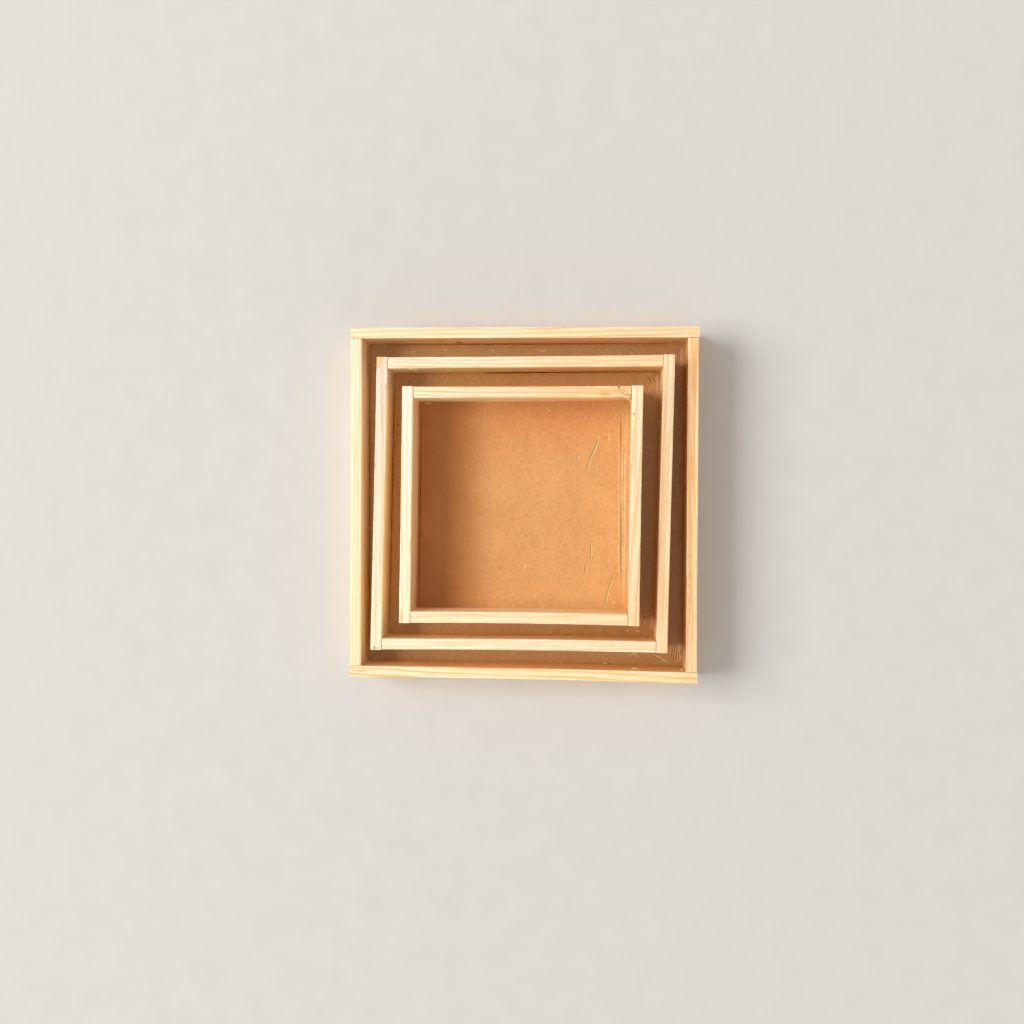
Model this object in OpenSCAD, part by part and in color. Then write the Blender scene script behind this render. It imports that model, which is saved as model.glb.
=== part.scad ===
// Nesting set of three shallow pine trays, one standing inside the other.
// Each tray: four grooved pine strips, butt-jointed and bradded, a hardboard floor panel
// let into the grooves, and a clear film liner pressed over the floor.
// Millimetres, +Z up. The origin is the middle of the outer tray's base.

/* [Strips] */
// Thickness of the pine strips that make the walls
wall_t = 6.6; // [5.6:0.1:9]
// Height of the strips
wall_h = 28; // [24:0.5:40]
// Rounding of the strips' long edges
edge_r = 0.5; // [0.2:0.1:1]

/* [Floor panels] */
// Height of the groove above the strips' lower edge
groove_lip = 4; // [3:0.5:6]
// Thickness of the hardboard panels
panel_t = 3; // [2:0.1:4]
// How far the edge of a panel goes into its groove
panel_bite = 2.6; // [1.5:0.1:3]
// Free depth of the groove past the edge of the panel
groove_spare = 0.6; // [0.2:0.1:1]
// Free height of the groove above the panel
groove_play = 0.1; // [0.05:0.05:0.3]

/* [Film liners] */
// Thickness of the clear film
liner_t = 0.25; // [0.1:0.05:0.5]
// Height of the film's turned-up edge above the panel
liner_h = 8; // [5:0.5:12]
// Radius of the film's upright corners
liner_corner_r = 5; // [4:0.5:8]
// Radius of the film where it turns up from the floor
liner_cove_r = 3; // [1:0.5:4]

/* [Brads] */
// Diameter of a brad's shank
brad_d = 1.2; // [0.8:0.1:1.6]
// Length of a brad with its head and point
brad_l = 20; // [14:1:30]
// Length of the point
brad_point = 1.8; // [1:0.2:3]
// Diameter of the head
brad_head_d = 2; // [1.8:0.1:3]
// Thickness of the head
brad_head_t = 0.6; // [0.3:0.1:1]
// Height of the lower brad above the groove
brad_over_groove = 4; // [2:0.5:6]
// Distance of the upper brad below the rim
brad_under_rim = 7; // [4:0.5:8]

/* [Outer tray] */
// Width along X, which is the length of its front and back strips
outer_w = 200; // [170:1:320]
// Depth along Y, over the front and back strips
outer_d = 203; // [170:1:320]
// How far the frame leans out of square, in degrees
outer_rack_angle = 0.2; // [-1:0.1:1]

/* [Middle tray] */
// Gap to the outer tray's walls at the left and right
outer_gap_x = 8.8; // [7:0.1:14]
// Gap to the outer tray's walls at the front and back
outer_gap_y = 11.2; // [7:0.1:14]
// How far the frame leans out of square, in degrees
middle_rack_angle = 1.3; // [-1.5:0.1:1.5]
// Turn of the tray on the floor below, in degrees
middle_turn = -0.9; // [-1:0.1:1]
// Shift of the tray to the right
middle_shift_x = -0.4; // [-1:0.1:1]
// Shift of the tray to the back
middle_shift_y = 0; // [-1:0.1:1]

/* [Small tray] */
// Gap to the middle tray's walls all round
middle_gap = 10.4; // [7:0.1:14]
// How far the frame leans out of square, in degrees
small_rack_angle = 0.6; // [-1.5:0.1:1.5]
// Turn of the tray on the floor below, in degrees
small_turn = -0.4; // [-1:0.1:1]
// Shift of the tray to the right
small_shift_x = -0.1; // [-1:0.1:1]
// Shift of the tray to the back
small_shift_y = -0.8; // [-1:0.1:1]

/* [Hidden] */
$fn = 32;
groove_depth = panel_bite + groove_spare;
groove_top = groove_lip + panel_t + groove_play;
panel_top = groove_lip + panel_t;
stand_z = panel_top + liner_t;
// Flat faces round an upright corner of the film, and round its cove
corner_steps = 6;
cove_steps = 4;
// How far a cut runs on past the face that it opens
cut_over = 1;

middle_w = outer_w - 2 * (wall_t + outer_gap_x);
middle_d = outer_d - 2 * (wall_t + outer_gap_y);
small_w = middle_w - 2 * (wall_t + middle_gap);
small_d = middle_d - 2 * (wall_t + middle_gap);

// A tray is [length of its full-length strips, size across them, rack angle].
// Its own frame has the full-length strips along X and its lower edge at Z = 0.
OUTER = [outer_w, outer_d, outer_rack_angle];
MIDDLE = [middle_d, middle_w, middle_rack_angle];
SMALL = [small_d, small_w, small_rack_angle];

// Half the distance between the outer faces of the strips that run between the others
function half_len(tray) = tray[0] * cos(tray[2]) / 2;
// Half the distance between the outer faces of the full-length strips
function half_across(tray) = tray[1] / 2;
// Corner of the tray's slanted outline, moved inwards by inset; sx and sy are -1 or 1
function corner(tray, sx, sy, inset) =
    [(sx * (half_len(tray) - inset) - sy * (half_across(tray) - inset) * sin(tray[2])) / cos(tray[2]),
     sy * (half_across(tray) - inset)];
// The four corners of that outline, counter-clockwise from the right back one
function outline(tray, inset) =
    [for (s = [[1, 1], [-1, 1], [-1, -1], [1, -1]]) corner(tray, s[0], s[1], inset)];

// ---- Places of the trays ----

module in_outer() {
    children();
}

module in_middle() {
    translate([middle_shift_x, middle_shift_y, stand_z]) rotate(90 + middle_turn) children();
}

module in_small() {
    translate([middle_shift_x + small_shift_x, middle_shift_y + small_shift_y, 2 * stand_z])
        rotate(90 + small_turn) children();
}

// ---- Shapes that every tray has ----

// Section of a strip: X from the outer face to the inner one, Y up
module strip_section() {
    difference() {
        union() {
            translate([-wall_t / 2, edge_r]) square([wall_t, wall_h - 2 * edge_r]);
            translate([-wall_t / 2 + edge_r, 0]) square([wall_t - 2 * edge_r, wall_h]);
            for (x = [-1, 1] * (wall_t / 2 - edge_r), y = [edge_r, wall_h - edge_r])
                translate([x, y]) circle(edge_r);
        }
        translate([wall_t / 2 - groove_depth, groove_lip])
            square([groove_depth + cut_over, groove_top - groove_lip]);
    }
}

// A strip along X, with its grooved inner face towards +Y
module strip(length) {
    rotate([90, 0, 90]) linear_extrude(length, center = true) strip_section();
}

// A brad that points along -Z, with its head flush at Z = 0
module brad() {
    translate([0, 0, -brad_head_t]) cylinder(d = brad_head_d, h = brad_head_t);
    translate([0, 0, brad_point - brad_l]) cylinder(d = brad_d, h = brad_l - brad_point);
    translate([0, 0, -brad_l]) cylinder(d1 = brad_d / 8, d2 = brad_d, h = brad_point);
}

// The eight brads of a tray, driven through the full-length strips into the others' ends
module brads(tray) {
    for (sx = [-1, 1], sy = [-1, 1], z = [groove_top + brad_over_groove, wall_h - brad_under_rim]) {
        x = (corner(tray, sx, sy, 0)[0] + corner(tray, sx, sy, wall_t)[0]) / 2;
        translate([x, sy * half_across(tray), z]) rotate([-sy * 90, 0, 0]) brad();
    }
}

// A full-length strip: side is -1 for the one at -Y and 1 for the one at +Y
module full_strip(tray, side) {
    lean = -side * tan(tray[2]) * (half_across(tray) - wall_t / 2);
    difference() {
        translate([lean, side * (half_across(tray) - wall_t / 2), 0])
            rotate(side > 0 ? 180 : 0) strip(tray[0]);
        brads(tray);
    }
}

// A strip between the full-length ones, cut square so that its ends just touch them
module between_strip(tray, side) {
    inside = 2 * (half_across(tray) - wall_t);
    length = (inside - wall_t * abs(sin(tray[2]))) / cos(tray[2]);
    place = side * (half_len(tray) - wall_t / 2);
    difference() {
        rotate(tray[2]) translate([place, -place * tan(tray[2]), 0])
            rotate(side * 90) strip(length);
        brads(tray);
    }
}

// The floor panel, which lies on the lower face of the grooves
module panel(tray) {
    translate([0, 0, groove_lip]) linear_extrude(panel_t)
        polygon(outline(tray, wall_t - panel_bite));
}

// Section of the film from the floor up and back down: [distance from a corner's centre, height]
function film_section() =
    let (cove_x = liner_corner_r - liner_cove_r, inner_r = liner_cove_r - liner_t, step = 90 / cove_steps)
    concat(
        [for (a = [0:step:90]) [cove_x + liner_cove_r * sin(a), liner_cove_r * (1 - cos(a))]],
        [[liner_corner_r, liner_h], [liner_corner_r - liner_t, liner_h]],
        [for (a = [90:-step:0]) [cove_x + inner_r * sin(a), liner_cove_r - inner_r * cos(a)]]
    );

// One closed ring round the tray: an arc of radius reach about each corner's centre
function ring(centres, facing, reach, z) =
    [for (k = [0:3], i = [0:corner_steps])
        let (a = facing[k] + (facing[k + 1] - facing[k]) * i / corner_steps)
        [centres[k][0] + reach * cos(a), centres[k][1] + reach * sin(a), z]];

// The film liner: rings that follow the film's section, joined by flat faces
module liner(tray) {
    centres = outline(tray, wall_t + liner_corner_r);
    // directions that the film faces along the four sides, ending where they began
    facing = [tray[2], 90, 180 + tray[2], 270, 360 + tray[2]];
    section = film_section();
    rings = len(section);
    around = 4 * (corner_steps + 1);
    translate([0, 0, panel_top]) polyhedron(
        points = [for (p = section) each ring(centres, facing, p[0], p[1])],
        faces = concat(
            [[for (i = [0:around - 1]) i]],
            [for (j = [0:rings - 2], i = [0:around - 1])
                let (next = (i + 1) % around)
                [j * around + i, (j + 1) * around + i, (j + 1) * around + next, j * around + next]],
            [[for (i = [around - 1:-1:0]) (rings - 1) * around + i]]
        )
    );
}

// ---- Outer tray: its front and back strips run full length ----

module outer_front_wall() {
    color([0.99, 0.91, 0.72]) in_outer() full_strip(OUTER, -1);
}

module outer_back_wall() {
    color([0.99, 0.91, 0.72]) in_outer() full_strip(OUTER, 1);
}

module outer_left_wall() {
    color([0.99, 0.96, 0.82]) in_outer() between_strip(OUTER, -1);
}

module outer_right_wall() {
    color([0.98, 0.80, 0.60]) in_outer() between_strip(OUTER, 1);
}

module outer_floor_panel() {
    color([0.68, 0.47, 0.29]) in_outer() panel(OUTER);
}

module outer_film_liner() {
    color([0.93, 0.96, 0.98, 0.25]) in_outer() liner(OUTER);
}

module outer_brads() {
    color([0.70, 0.70, 0.72]) in_outer() brads(OUTER);
}

// ---- Middle tray: its left and right strips run full length ----

module middle_front_wall() {
    color([0.98, 0.89, 0.72]) in_middle() between_strip(MIDDLE, -1);
}

module middle_back_wall() {
    color([0.99, 0.91, 0.72]) in_middle() between_strip(MIDDLE, 1);
}

module middle_left_wall() {
    color([0.99, 0.93, 0.83]) in_middle() full_strip(MIDDLE, 1);
}

module middle_right_wall() {
    color([0.99, 0.86, 0.68]) in_middle() full_strip(MIDDLE, -1);
}

module middle_floor_panel() {
    color([0.71, 0.49, 0.29]) in_middle() panel(MIDDLE);
}

module middle_film_liner() {
    color([0.93, 0.96, 0.98, 0.25]) in_middle() liner(MIDDLE);
}

module middle_brads() {
    color([0.70, 0.70, 0.72]) in_middle() brads(MIDDLE);
}

// ---- Small tray: its left and right strips run full length ----

module small_front_wall() {
    color([0.98, 0.88, 0.70]) in_small() between_strip(SMALL, -1);
}

module small_back_wall() {
    color([0.98, 0.86, 0.66]) in_small() between_strip(SMALL, 1);
}

module small_left_wall() {
    color([0.99, 0.96, 0.85]) in_small() full_strip(SMALL, 1);
}

module small_right_wall() {
    color([0.98, 0.87, 0.71]) in_small() full_strip(SMALL, -1);
}

module small_floor_panel() {
    color([0.88, 0.62, 0.39]) in_small() panel(SMALL);
}

module small_film_liner() {
    color([0.93, 0.96, 0.98, 0.25]) in_small() liner(SMALL);
}

module small_brads() {
    color([0.70, 0.70, 0.72]) in_small() brads(SMALL);
}

outer_front_wall();
outer_back_wall();
outer_left_wall();
outer_right_wall();
outer_floor_panel();
outer_film_liner();
outer_brads();
middle_front_wall();
middle_back_wall();
middle_left_wall();
middle_right_wall();
middle_floor_panel();
middle_film_liner();
middle_brads();
small_front_wall();
small_back_wall();
small_left_wall();
small_right_wall();
small_floor_panel();
small_film_liner();
small_brads();
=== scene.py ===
# %% [markdown]
# # Three nesting pine trays
#
# The object is a set of three shallow trays that stand one inside the other. Each has four planed
# pine strips round a hardboard floor, eight brads through its corners, and a clear film pressed over
# the floor. The engineering model gives every part its size and place. This lesson dresses it: it
# makes the wood, the board, the film and the steel look real, and leaves each size as it is.

# %% Load the engineering model
import math
import random
from collections import namedtuple

import bmesh
import bpy
from mathutils import Matrix, Vector, noise


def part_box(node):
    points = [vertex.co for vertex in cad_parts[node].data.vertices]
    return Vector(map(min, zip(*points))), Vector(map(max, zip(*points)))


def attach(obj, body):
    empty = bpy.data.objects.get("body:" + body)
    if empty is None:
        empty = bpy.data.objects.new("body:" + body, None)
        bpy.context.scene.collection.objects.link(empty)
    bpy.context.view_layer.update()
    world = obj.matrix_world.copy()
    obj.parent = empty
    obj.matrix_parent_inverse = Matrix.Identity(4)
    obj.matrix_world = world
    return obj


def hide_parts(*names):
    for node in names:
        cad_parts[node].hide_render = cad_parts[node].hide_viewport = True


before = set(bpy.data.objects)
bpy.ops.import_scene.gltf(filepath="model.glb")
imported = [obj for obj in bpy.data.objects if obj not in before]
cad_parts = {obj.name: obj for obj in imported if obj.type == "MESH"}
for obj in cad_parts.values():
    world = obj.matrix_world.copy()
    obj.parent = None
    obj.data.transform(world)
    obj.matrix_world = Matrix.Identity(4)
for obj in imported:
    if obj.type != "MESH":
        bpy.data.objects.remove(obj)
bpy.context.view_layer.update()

scene = bpy.context.scene

# %% [markdown]
# ## Sizes and places
#
# The strips are the same in all three trays, 6.6 mm thick and 28 mm high. A hand-made tray is never
# quite square, so each has a lean, and the inner ones stand a little turned. Two opposite strips run
# full length and the other two are cut to fit between them. The outer tray has its full strips at the
# front and back, the inner two at the left and right. A few numbers place every strip, so nothing has
# to be fitted by eye.

# %% Sizes in metres
MM = 0.001
WALL_T = 6.6 * MM
WALL_H = 28 * MM
EDGE_R = 0.5 * MM
GROOVE_FOOT = 4 * MM
GROOVE_TOP = 7.1 * MM
GROOVE_DEPTH = 3.2 * MM
PANEL_TOP = 7 * MM
FILM_T = 0.25 * MM
FILM_H = 8 * MM
FILM_CORNER_R = 5 * MM
FILM_COVE_R = 3 * MM
STEP = PANEL_TOP + FILM_T
BRAD_HEIGHTS = (11.1 * MM, 21 * MM)
print(f"walls {WALL_T / MM:.1f} mm thick and {WALL_H / MM:.0f} mm high, each tray {STEP / MM:.2f} mm up")

# %% The three trays
Tray = namedtuple("Tray", "name body length across lean turn place sides")
# sides: names of the strips at local -Y, +Y, -X and +X. The first two run full length along local X.
TRAYS = [
    Tray("outer", "outer_tray", 200 * MM, 203 * MM, math.radians(0.2), 0.0,
         Vector((0, 0, 0)), ("front", "back", "left", "right")),
    Tray("middle", "middle_tray", 167.4 * MM, 169.2 * MM, math.radians(1.3), math.radians(89.1),
         Vector((-0.4 * MM, 0, STEP)), ("right", "left", "front", "back")),
    Tray("small", "small_tray", 133.4 * MM, 135.2 * MM, math.radians(0.6), math.radians(89.6),
         Vector((-0.5 * MM, -0.8 * MM, 2 * STEP)), ("right", "left", "front", "back")),
]


def half_length(tray):
    """Half the distance between the outer faces of the strips that run between the others."""
    return tray.length * math.cos(tray.lean) / 2


def corner(tray, sx, sy, inset):
    """A corner of the tray's slanted outline, moved inwards by inset. sx and sy are -1 or 1."""
    along = sx * (half_length(tray) - inset)
    across = tray.across / 2 - inset
    return Vector(((along - sy * across * math.sin(tray.lean)) / math.cos(tray.lean), sy * across, 0))


def outline(tray, inset):
    """The outline's four corners, counter-clockwise from local +X +Y."""
    return [corner(tray, sx, sy, inset) for sx, sy in ((1, 1), (-1, 1), (-1, -1), (1, -1))]


def stand(tray):
    """The matrix that takes a tray from its own frame to its place in the set."""
    return Matrix.Translation(tray.place) @ Matrix.Rotation(tray.turn, 4, "Z")


for tray in TRAYS:
    print(tray.name, "corners, mm:", [tuple(round(c / MM, 1) for c in p[:2]) for p in outline(tray, 0)])

# %% [markdown]
# ## The strips' places
#
# A strip is modelled along X with its grooved side towards +Y, and then turned and shifted to its
# wall. Full strips slide a little along each other because the tray leans, and the strips between
# them turn with the lean. Their ends are sawn a trace short, and that is why a real butt joint shows
# as a fine dark line.

# %% Place the twelve strips
JOINT_GAP = 0.07 * MM
Strip = namedtuple("Strip", "name tray length turn place")


def strips_of(tray):
    """The four strips of a tray."""
    made = []
    half_across = tray.across / 2
    slope = math.tan(tray.lean)
    inside = 2 * (half_across - WALL_T)
    between = (inside - WALL_T * abs(math.sin(tray.lean))) / math.cos(tray.lean)
    for side, name in zip((-1, 1), tray.sides[:2]):
        reach = half_across - WALL_T / 2
        spot = Vector((-side * slope * reach, side * reach, 0))
        made.append((name, tray.length, math.pi if side > 0 else 0.0, spot))
    for side, name in zip((-1, 1), tray.sides[2:]):
        reach = side * (half_length(tray) - WALL_T / 2)
        spot = Matrix.Rotation(tray.lean, 3, "Z") @ Vector((reach, -reach * slope, 0))
        made.append((name, between - 2 * JOINT_GAP, tray.lean + side * math.pi / 2, spot))
    return [
        Strip(f"{tray.name}_{name}_strip", tray, length, tray.turn + turn, stand(tray) @ spot)
        for name, length, turn, spot in made
    ]


STRIPS = [strip for tray in TRAYS for strip in strips_of(tray)]
for strip in STRIPS:
    print(f"{strip.name}: {strip.length / MM:.1f} mm long, turned {math.degrees(strip.turn):.1f} degrees")

# %% [markdown]
# ## Writing node trees as sums
#
# A material or a Geometry Nodes tree is easier to read as arithmetic than as dozens of node calls.
# The class Shade wraps one socket, and a plus or a times on it adds the Math node for it. The class
# Tree adds every other kind of node by one method: its settings are laid first, then the values or
# links of its sockets. The nodes that come again and again have short methods of their own on top.

# %% A socket with arithmetic
class Shade:
    """One output socket. A sum on it adds Math nodes to its tree."""

    def __init__(self, tree, socket):
        self.tree = tree
        self.socket = socket

    def __add__(self, other):
        return self.tree.math("ADD", self, other)

    __radd__ = __add__

    def __sub__(self, other):
        return self.tree.math("SUBTRACT", self, other)

    def __rsub__(self, other):
        return self.tree.math("SUBTRACT", other, self)

    def __mul__(self, other):
        return self.tree.math("MULTIPLY", self, other)

    __rmul__ = __mul__

    def __truediv__(self, other):
        return self.tree.math("DIVIDE", self, other)

    def __rtruediv__(self, other):
        return self.tree.math("DIVIDE", other, self)

    def __pow__(self, other):
        return self.tree.math("POWER", self, other)

    def __abs__(self):
        return self.tree.math("ABSOLUTE", self)

    def least(self, other):
        return self.tree.math("MINIMUM", self, other)

    def most(self, other):
        return self.tree.math("MAXIMUM", self, other)

    def rise(self, low, high):
        """0 below low, 1 above high, and smooth between. With low above high it falls instead."""
        sockets = {"Value": self, "From Min": low, "From Max": high}
        return self.tree.node("ShaderNodeMapRange", {"interpolation_type": "SMOOTHSTEP"}, sockets)[0]

    def clip(self):
        return self.most(0.0).least(1.0)


print("a Shade adds, multiplies, and has:", ", ".join(name for name in vars(Shade) if "__" not in name))

# %% A tree that any node is added to
MIX_FACTOR, MIX_A, MIX_B, MIX_RESULT = 0, 6, 7, 2


class Tree:
    """A node tree of a material or of Geometry Nodes."""

    def __init__(self, group):
        self.group = group

    def node(self, kind, settings=None, sockets=None):
        """Adds a node and returns its outputs, by name or number."""
        made = self.group.nodes.new(kind)
        made.location = (180 * len(self.group.nodes), 0)
        for name, value in (settings or {}).items():
            setattr(made, name, value)
        for key, value in (sockets or {}).items():
            if isinstance(value, Shade):
                self.group.links.new(value.socket, made.inputs[key])
            else:
                made.inputs[key].default_value = value
        return Outputs(self, made)

    def noise(self, vector, scale, detail=2.0, roughness=0.5, distortion=0.0):
        """A smooth random number from 0 to 1, near 0.5 on average."""
        sockets = {"Vector": vector, "Scale": scale, "Detail": detail,
                   "Roughness": roughness, "Distortion": distortion}
        return self.node("ShaderNodeTexNoise", None, sockets)[0]

    def math(self, operation, *values):
        return self.node("ShaderNodeMath", {"operation": operation}, dict(enumerate(values)))[0]

    def vector(self, x, y, z):
        return self.node("ShaderNodeCombineXYZ", None, {0: x, 1: y, 2: z})[0]

    def split(self, vector):
        parts = self.node("ShaderNodeSeparateXYZ", None, {0: vector})
        return parts[0], parts[1], parts[2]

    def mix(self, first, second, factor, blend="MIX"):
        """Colours first and second, mixed by factor."""
        settings = {"data_type": "RGBA", "blend_type": blend}
        sockets = {MIX_FACTOR: factor, MIX_A: first, MIX_B: second}
        return self.node("ShaderNodeMix", settings, sockets)[MIX_RESULT]

    def in_mm(self, start=(0, 0, 0), turn=0.0):
        """Where a point of the piece lies: x, y and z in mm from start, on axes turned about Z."""
        sockets = {"Vector": self.node("ShaderNodeTexCoord")["Object"], "Location": start,
                   "Scale": (MM, MM, MM), "Rotation": (0, 0, turn)}
        return self.split(self.node("ShaderNodeMapping", {"vector_type": "TEXTURE"}, sockets)[0])

    def bump(self, relief, strength, depth):
        """A normal that follows a relief of this depth in metres."""
        sockets = {"Strength": strength, "Distance": depth, "Height": relief}
        return self.node("ShaderNodeBump", None, sockets)[0]

    def principled(self, sockets):
        return self.node("ShaderNodeBsdfPrincipled", None, sockets)[0]

    def surface(self, shader):
        """Ends the tree of a material."""
        self.node("ShaderNodeOutputMaterial", None, {"Surface": shader})


class Outputs:
    """The outputs of one node."""

    def __init__(self, tree, made):
        self.tree = tree
        self.made = made

    def __getitem__(self, key):
        return Shade(self.tree, self.made.outputs[key])


def colour(red, green, blue):
    """A colour written as on a paint chart, 0 to 255, in the linear numbers that Blender uses."""
    steps = [part / 255 for part in (red, green, blue)]
    return tuple(s / 12.92 if s <= 0.04045 else ((s + 0.055) / 1.055) ** 2.4 for s in steps) + (1.0,)


def new_material(name):
    """An empty material and its tree."""
    material = bpy.data.materials.new(name)
    material.use_nodes = True
    material.node_tree.nodes.clear()
    return material, Tree(material.node_tree)


print("a Tree has:", ", ".join(name for name in vars(Tree) if "__" not in name))

# %% [markdown]
# ## The pine
#
# Planed pine shows the tree's growth rings. Each ring is a broad pale band of early wood and a thin
# orange line of late wood that ends sharply. A ring is part of a cylinder about the heart of the
# tree, so the pattern is worked out in three dimensions: distance from the heart, divided by the
# width of a ring. A picture of wood or a wave texture could be wrapped round a strip instead, but the
# picture would smear at the ends and the wave would be too even. Rings in three dimensions run on
# from the top of a strip down its sides, and its ends show arcs of end grain. Every strip comes from
# another board, so each has its own heart, ring width and tone.

# %% How each strip was cut
# early, far: early wood at the left or back end and at the other end. late: late wood.
# heart: across and above the strip, mm. width: of a ring, mm. drift: mm of grain run-out per mm.
# contrast: how strong the rings are. face: the tint of the two upright faces, set to how each face is lit,
# so it is painted light; the darkest tint is painted shade.
Cut = namedtuple("Cut", "early far late heart width drift contrast face seed")
PLAIN = (255, 255, 255)
FAIR = (255, 238, 230)
ROSY = (255, 242, 246)
WARM = (255, 228, 196)
# painted shade for the upright faces of the right-hand strips
PAINTED_FACE_SHADE = (208, 206, 200)
CUTS = {
    "outer_front_strip": Cut((254, 251, 212), (255, 238, 186), (252, 184, 108),
        (-30, 34), 2.3, 0.020, 1.0, FAIR, 1),
    "outer_back_strip": Cut((254, 253, 214), (253, 235, 192), (252, 190, 120),
        (42, 20), 2.4, 0.020, 1.0, ROSY, 2),
    "outer_left_strip": Cut((252, 253, 224), (254, 244, 200), (250, 216, 146),
        (-50, 18), 2.1, 0.012, 1.0, ROSY, 3),
    "outer_right_strip": Cut((255, 224, 172), (255, 230, 184), (254, 170, 94),
        (38, 34), 2.2, 0.016, 1.0, PAINTED_FACE_SHADE, 4),
    "middle_front_strip": Cut((254, 254, 224), (253, 238, 200), (251, 194, 128),
        (46, 20), 2.0, 0.010, 0.9, FAIR, 5),
    "middle_back_strip": Cut((254, 255, 230), (254, 229, 180), (250, 188, 116),
        (-44, 20), 1.9, 0.012, 0.9, PLAIN, 6),
    "middle_left_strip": Cut((253, 236, 214), (254, 249, 214), (240, 204, 170),
        (34, 40), 2.6, 0.018, 0.8, PLAIN, 7),
    "middle_right_strip": Cut((255, 242, 206), (255, 233, 186), (253, 188, 122),
        (-48, 34), 2.6, 0.012, 0.9, FAIR, 8),
    "small_front_strip": Cut((255, 245, 208), (254, 233, 188), (250, 202, 140),
        (40, 50), 3.0, 0.020, 0.6, PLAIN, 9),
    "small_back_strip": Cut((253, 252, 218), (252, 216, 160), (249, 182, 110),
        (-36, 24), 2.1, 0.016, 0.9, PLAIN, 10),
    "small_left_strip": Cut((254, 255, 242), (254, 250, 216), (246, 222, 164),
        (50, 30), 2.2, 0.008, 0.9, WARM, 11),
    "small_right_strip": Cut((255, 241, 202), (255, 232, 184), (251, 192, 132),
        (-30, 44), 2.4, 0.034, 0.9, PAINTED_FACE_SHADE, 12),
}
# How strongly short dark pores show, on these strips and on all others.
FEW_PORES = 0.25
PORES = {"middle_left_strip": 0.7, "middle_right_strip": 0.6, "small_right_strip": 0.6,
         "outer_right_strip": 0.7}
print("boards:", len(CUTS))

# %% [markdown]
# Small things make wood believable: a knot that bends the grain round it, a dark fleck of resin, a
# patch of orange heartwood. Each could be a decal laid over the strip, but then it would not follow
# the rings. So they are listed with their place in the set in millimetres, and each turns into a
# soft spot, a slanted edge or a curved check in the strip's own material.

# %% Knots, flecks and patches
# For each strip: kind, x and y in the set, half length along the strip, half width, all in mm, and
# strength from 0 to 1.
MARKS = {
    "outer_back_strip": [("streak", -64.5, 100.5, 0.5, 0.35, 0.6)],
    "middle_left_strip": [("stain", -78.4, 58.0, 6.0, 0.8, 0.25), ("stain", -80.0, 48.6, 7.0, 0.7, 0.25),
                          ("sap", -78.2, 0.0, 170.0, 1.1, 0.7), ("wedge", -83.6, 80.0, 3.4, 1.9, 0.9),
                          ("streak", -83.8, -83.1, 0.8, 0.55, 1.0),
                          ("fleck", -81.7, -83.1, 0.6, 0.35, 0.7)],
    "small_left_strip": [("patch", -66.8, -64.2, 4.4, 0.9, 0.7)],
    "small_back_strip": [("knot", 54.6, 64.6, 4.4, 4.2, 0.7), ("fleck", 53.8, 65.1, 0.8, 0.5, 1.0),
                         ("patch", 46.2, 61.6, 3.4, 1.6, 1.0), ("check", 53.8, 60.6, 3.9, 0.26, 0.7)],
    "small_right_strip": [("streak", 62.3, 50.3, 1.1, 0.36, 1.0), ("streak", 67.9, 61.6, 2.2, 0.3, 0.6),
                          ("stain", 63.6, 30.0, 30.0, 0.4, 0.4)],
    "outer_right_strip": [("streak", 95.2, -40.0, 2.6, 0.22, 0.7), ("streak", 95.3, -46.0, 2.0, 0.22, 0.8),
                          ("streak", 95.3, -53.0, 3.0, 0.22, 0.8), ("streak", 95.4, -60.0, 2.0, 0.22, 0.7),
                          ("streak", 95.5, -65.7, 2.2, 0.22, 0.7), ("patch", 97.6, 76.0, 20.0, 0.9, 0.9),
                          ("patch", 96.0, 20.0, 14.0, 0.8, 0.7), ("patch", 95.2, -20.0, 90.0, 1.2, 0.5),
                          ("sap", 98.6, 10.0, 95.0, 0.7, 0.4)],
    "outer_front_strip": [("patch", 96.4, -98.4, 7.0, 1.4, 0.7), ("patch", -94.0, -97.7, 6.0, 0.7, 0.8)],
    "middle_front_strip": [("fleck", 51.2, -79.6, 0.8, 0.3, 0.4)],
    "middle_right_strip": [("patch", 79.6, 10.0, 90.0, 1.7, 0.45), ("stain", 77.6, -30.0, 20.0, 0.5, 0.5)],
}


def on_strip(strip, x, y):
    """A spot of the set, in mm, as along and across its strip, in mm."""
    spot = Matrix.Rotation(-strip.turn, 3, "Z") @ (Vector((x * MM, y * MM, 0)) - strip.place)
    return spot.x / MM, spot.y / MM


print("marks on the wood:", sum(len(marks) for marks in MARKS.values()))

# %% The pine's growth rings
SWAY_ALONG = 0.012  # sways and ripples per mm, along and across the strip
RIPPLE_ALONG, RIPPLE_ACROSS = 0.045, 0.12
FADE_ALONG = 0.030
SWAY_REACH = 3.0  # how far they shift a ring, mm
RIPPLE_REACH = 0.9
SEED_STEP = 7.31  # how far the noise moves on from board to board, and from ring to ring
RING_STEP = 3.3
LATE_FROM, LATE_FULL, LATE_TO = 0.50, 0.90, 0.95  # where late wood starts, is full and ends in a ring


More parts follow.
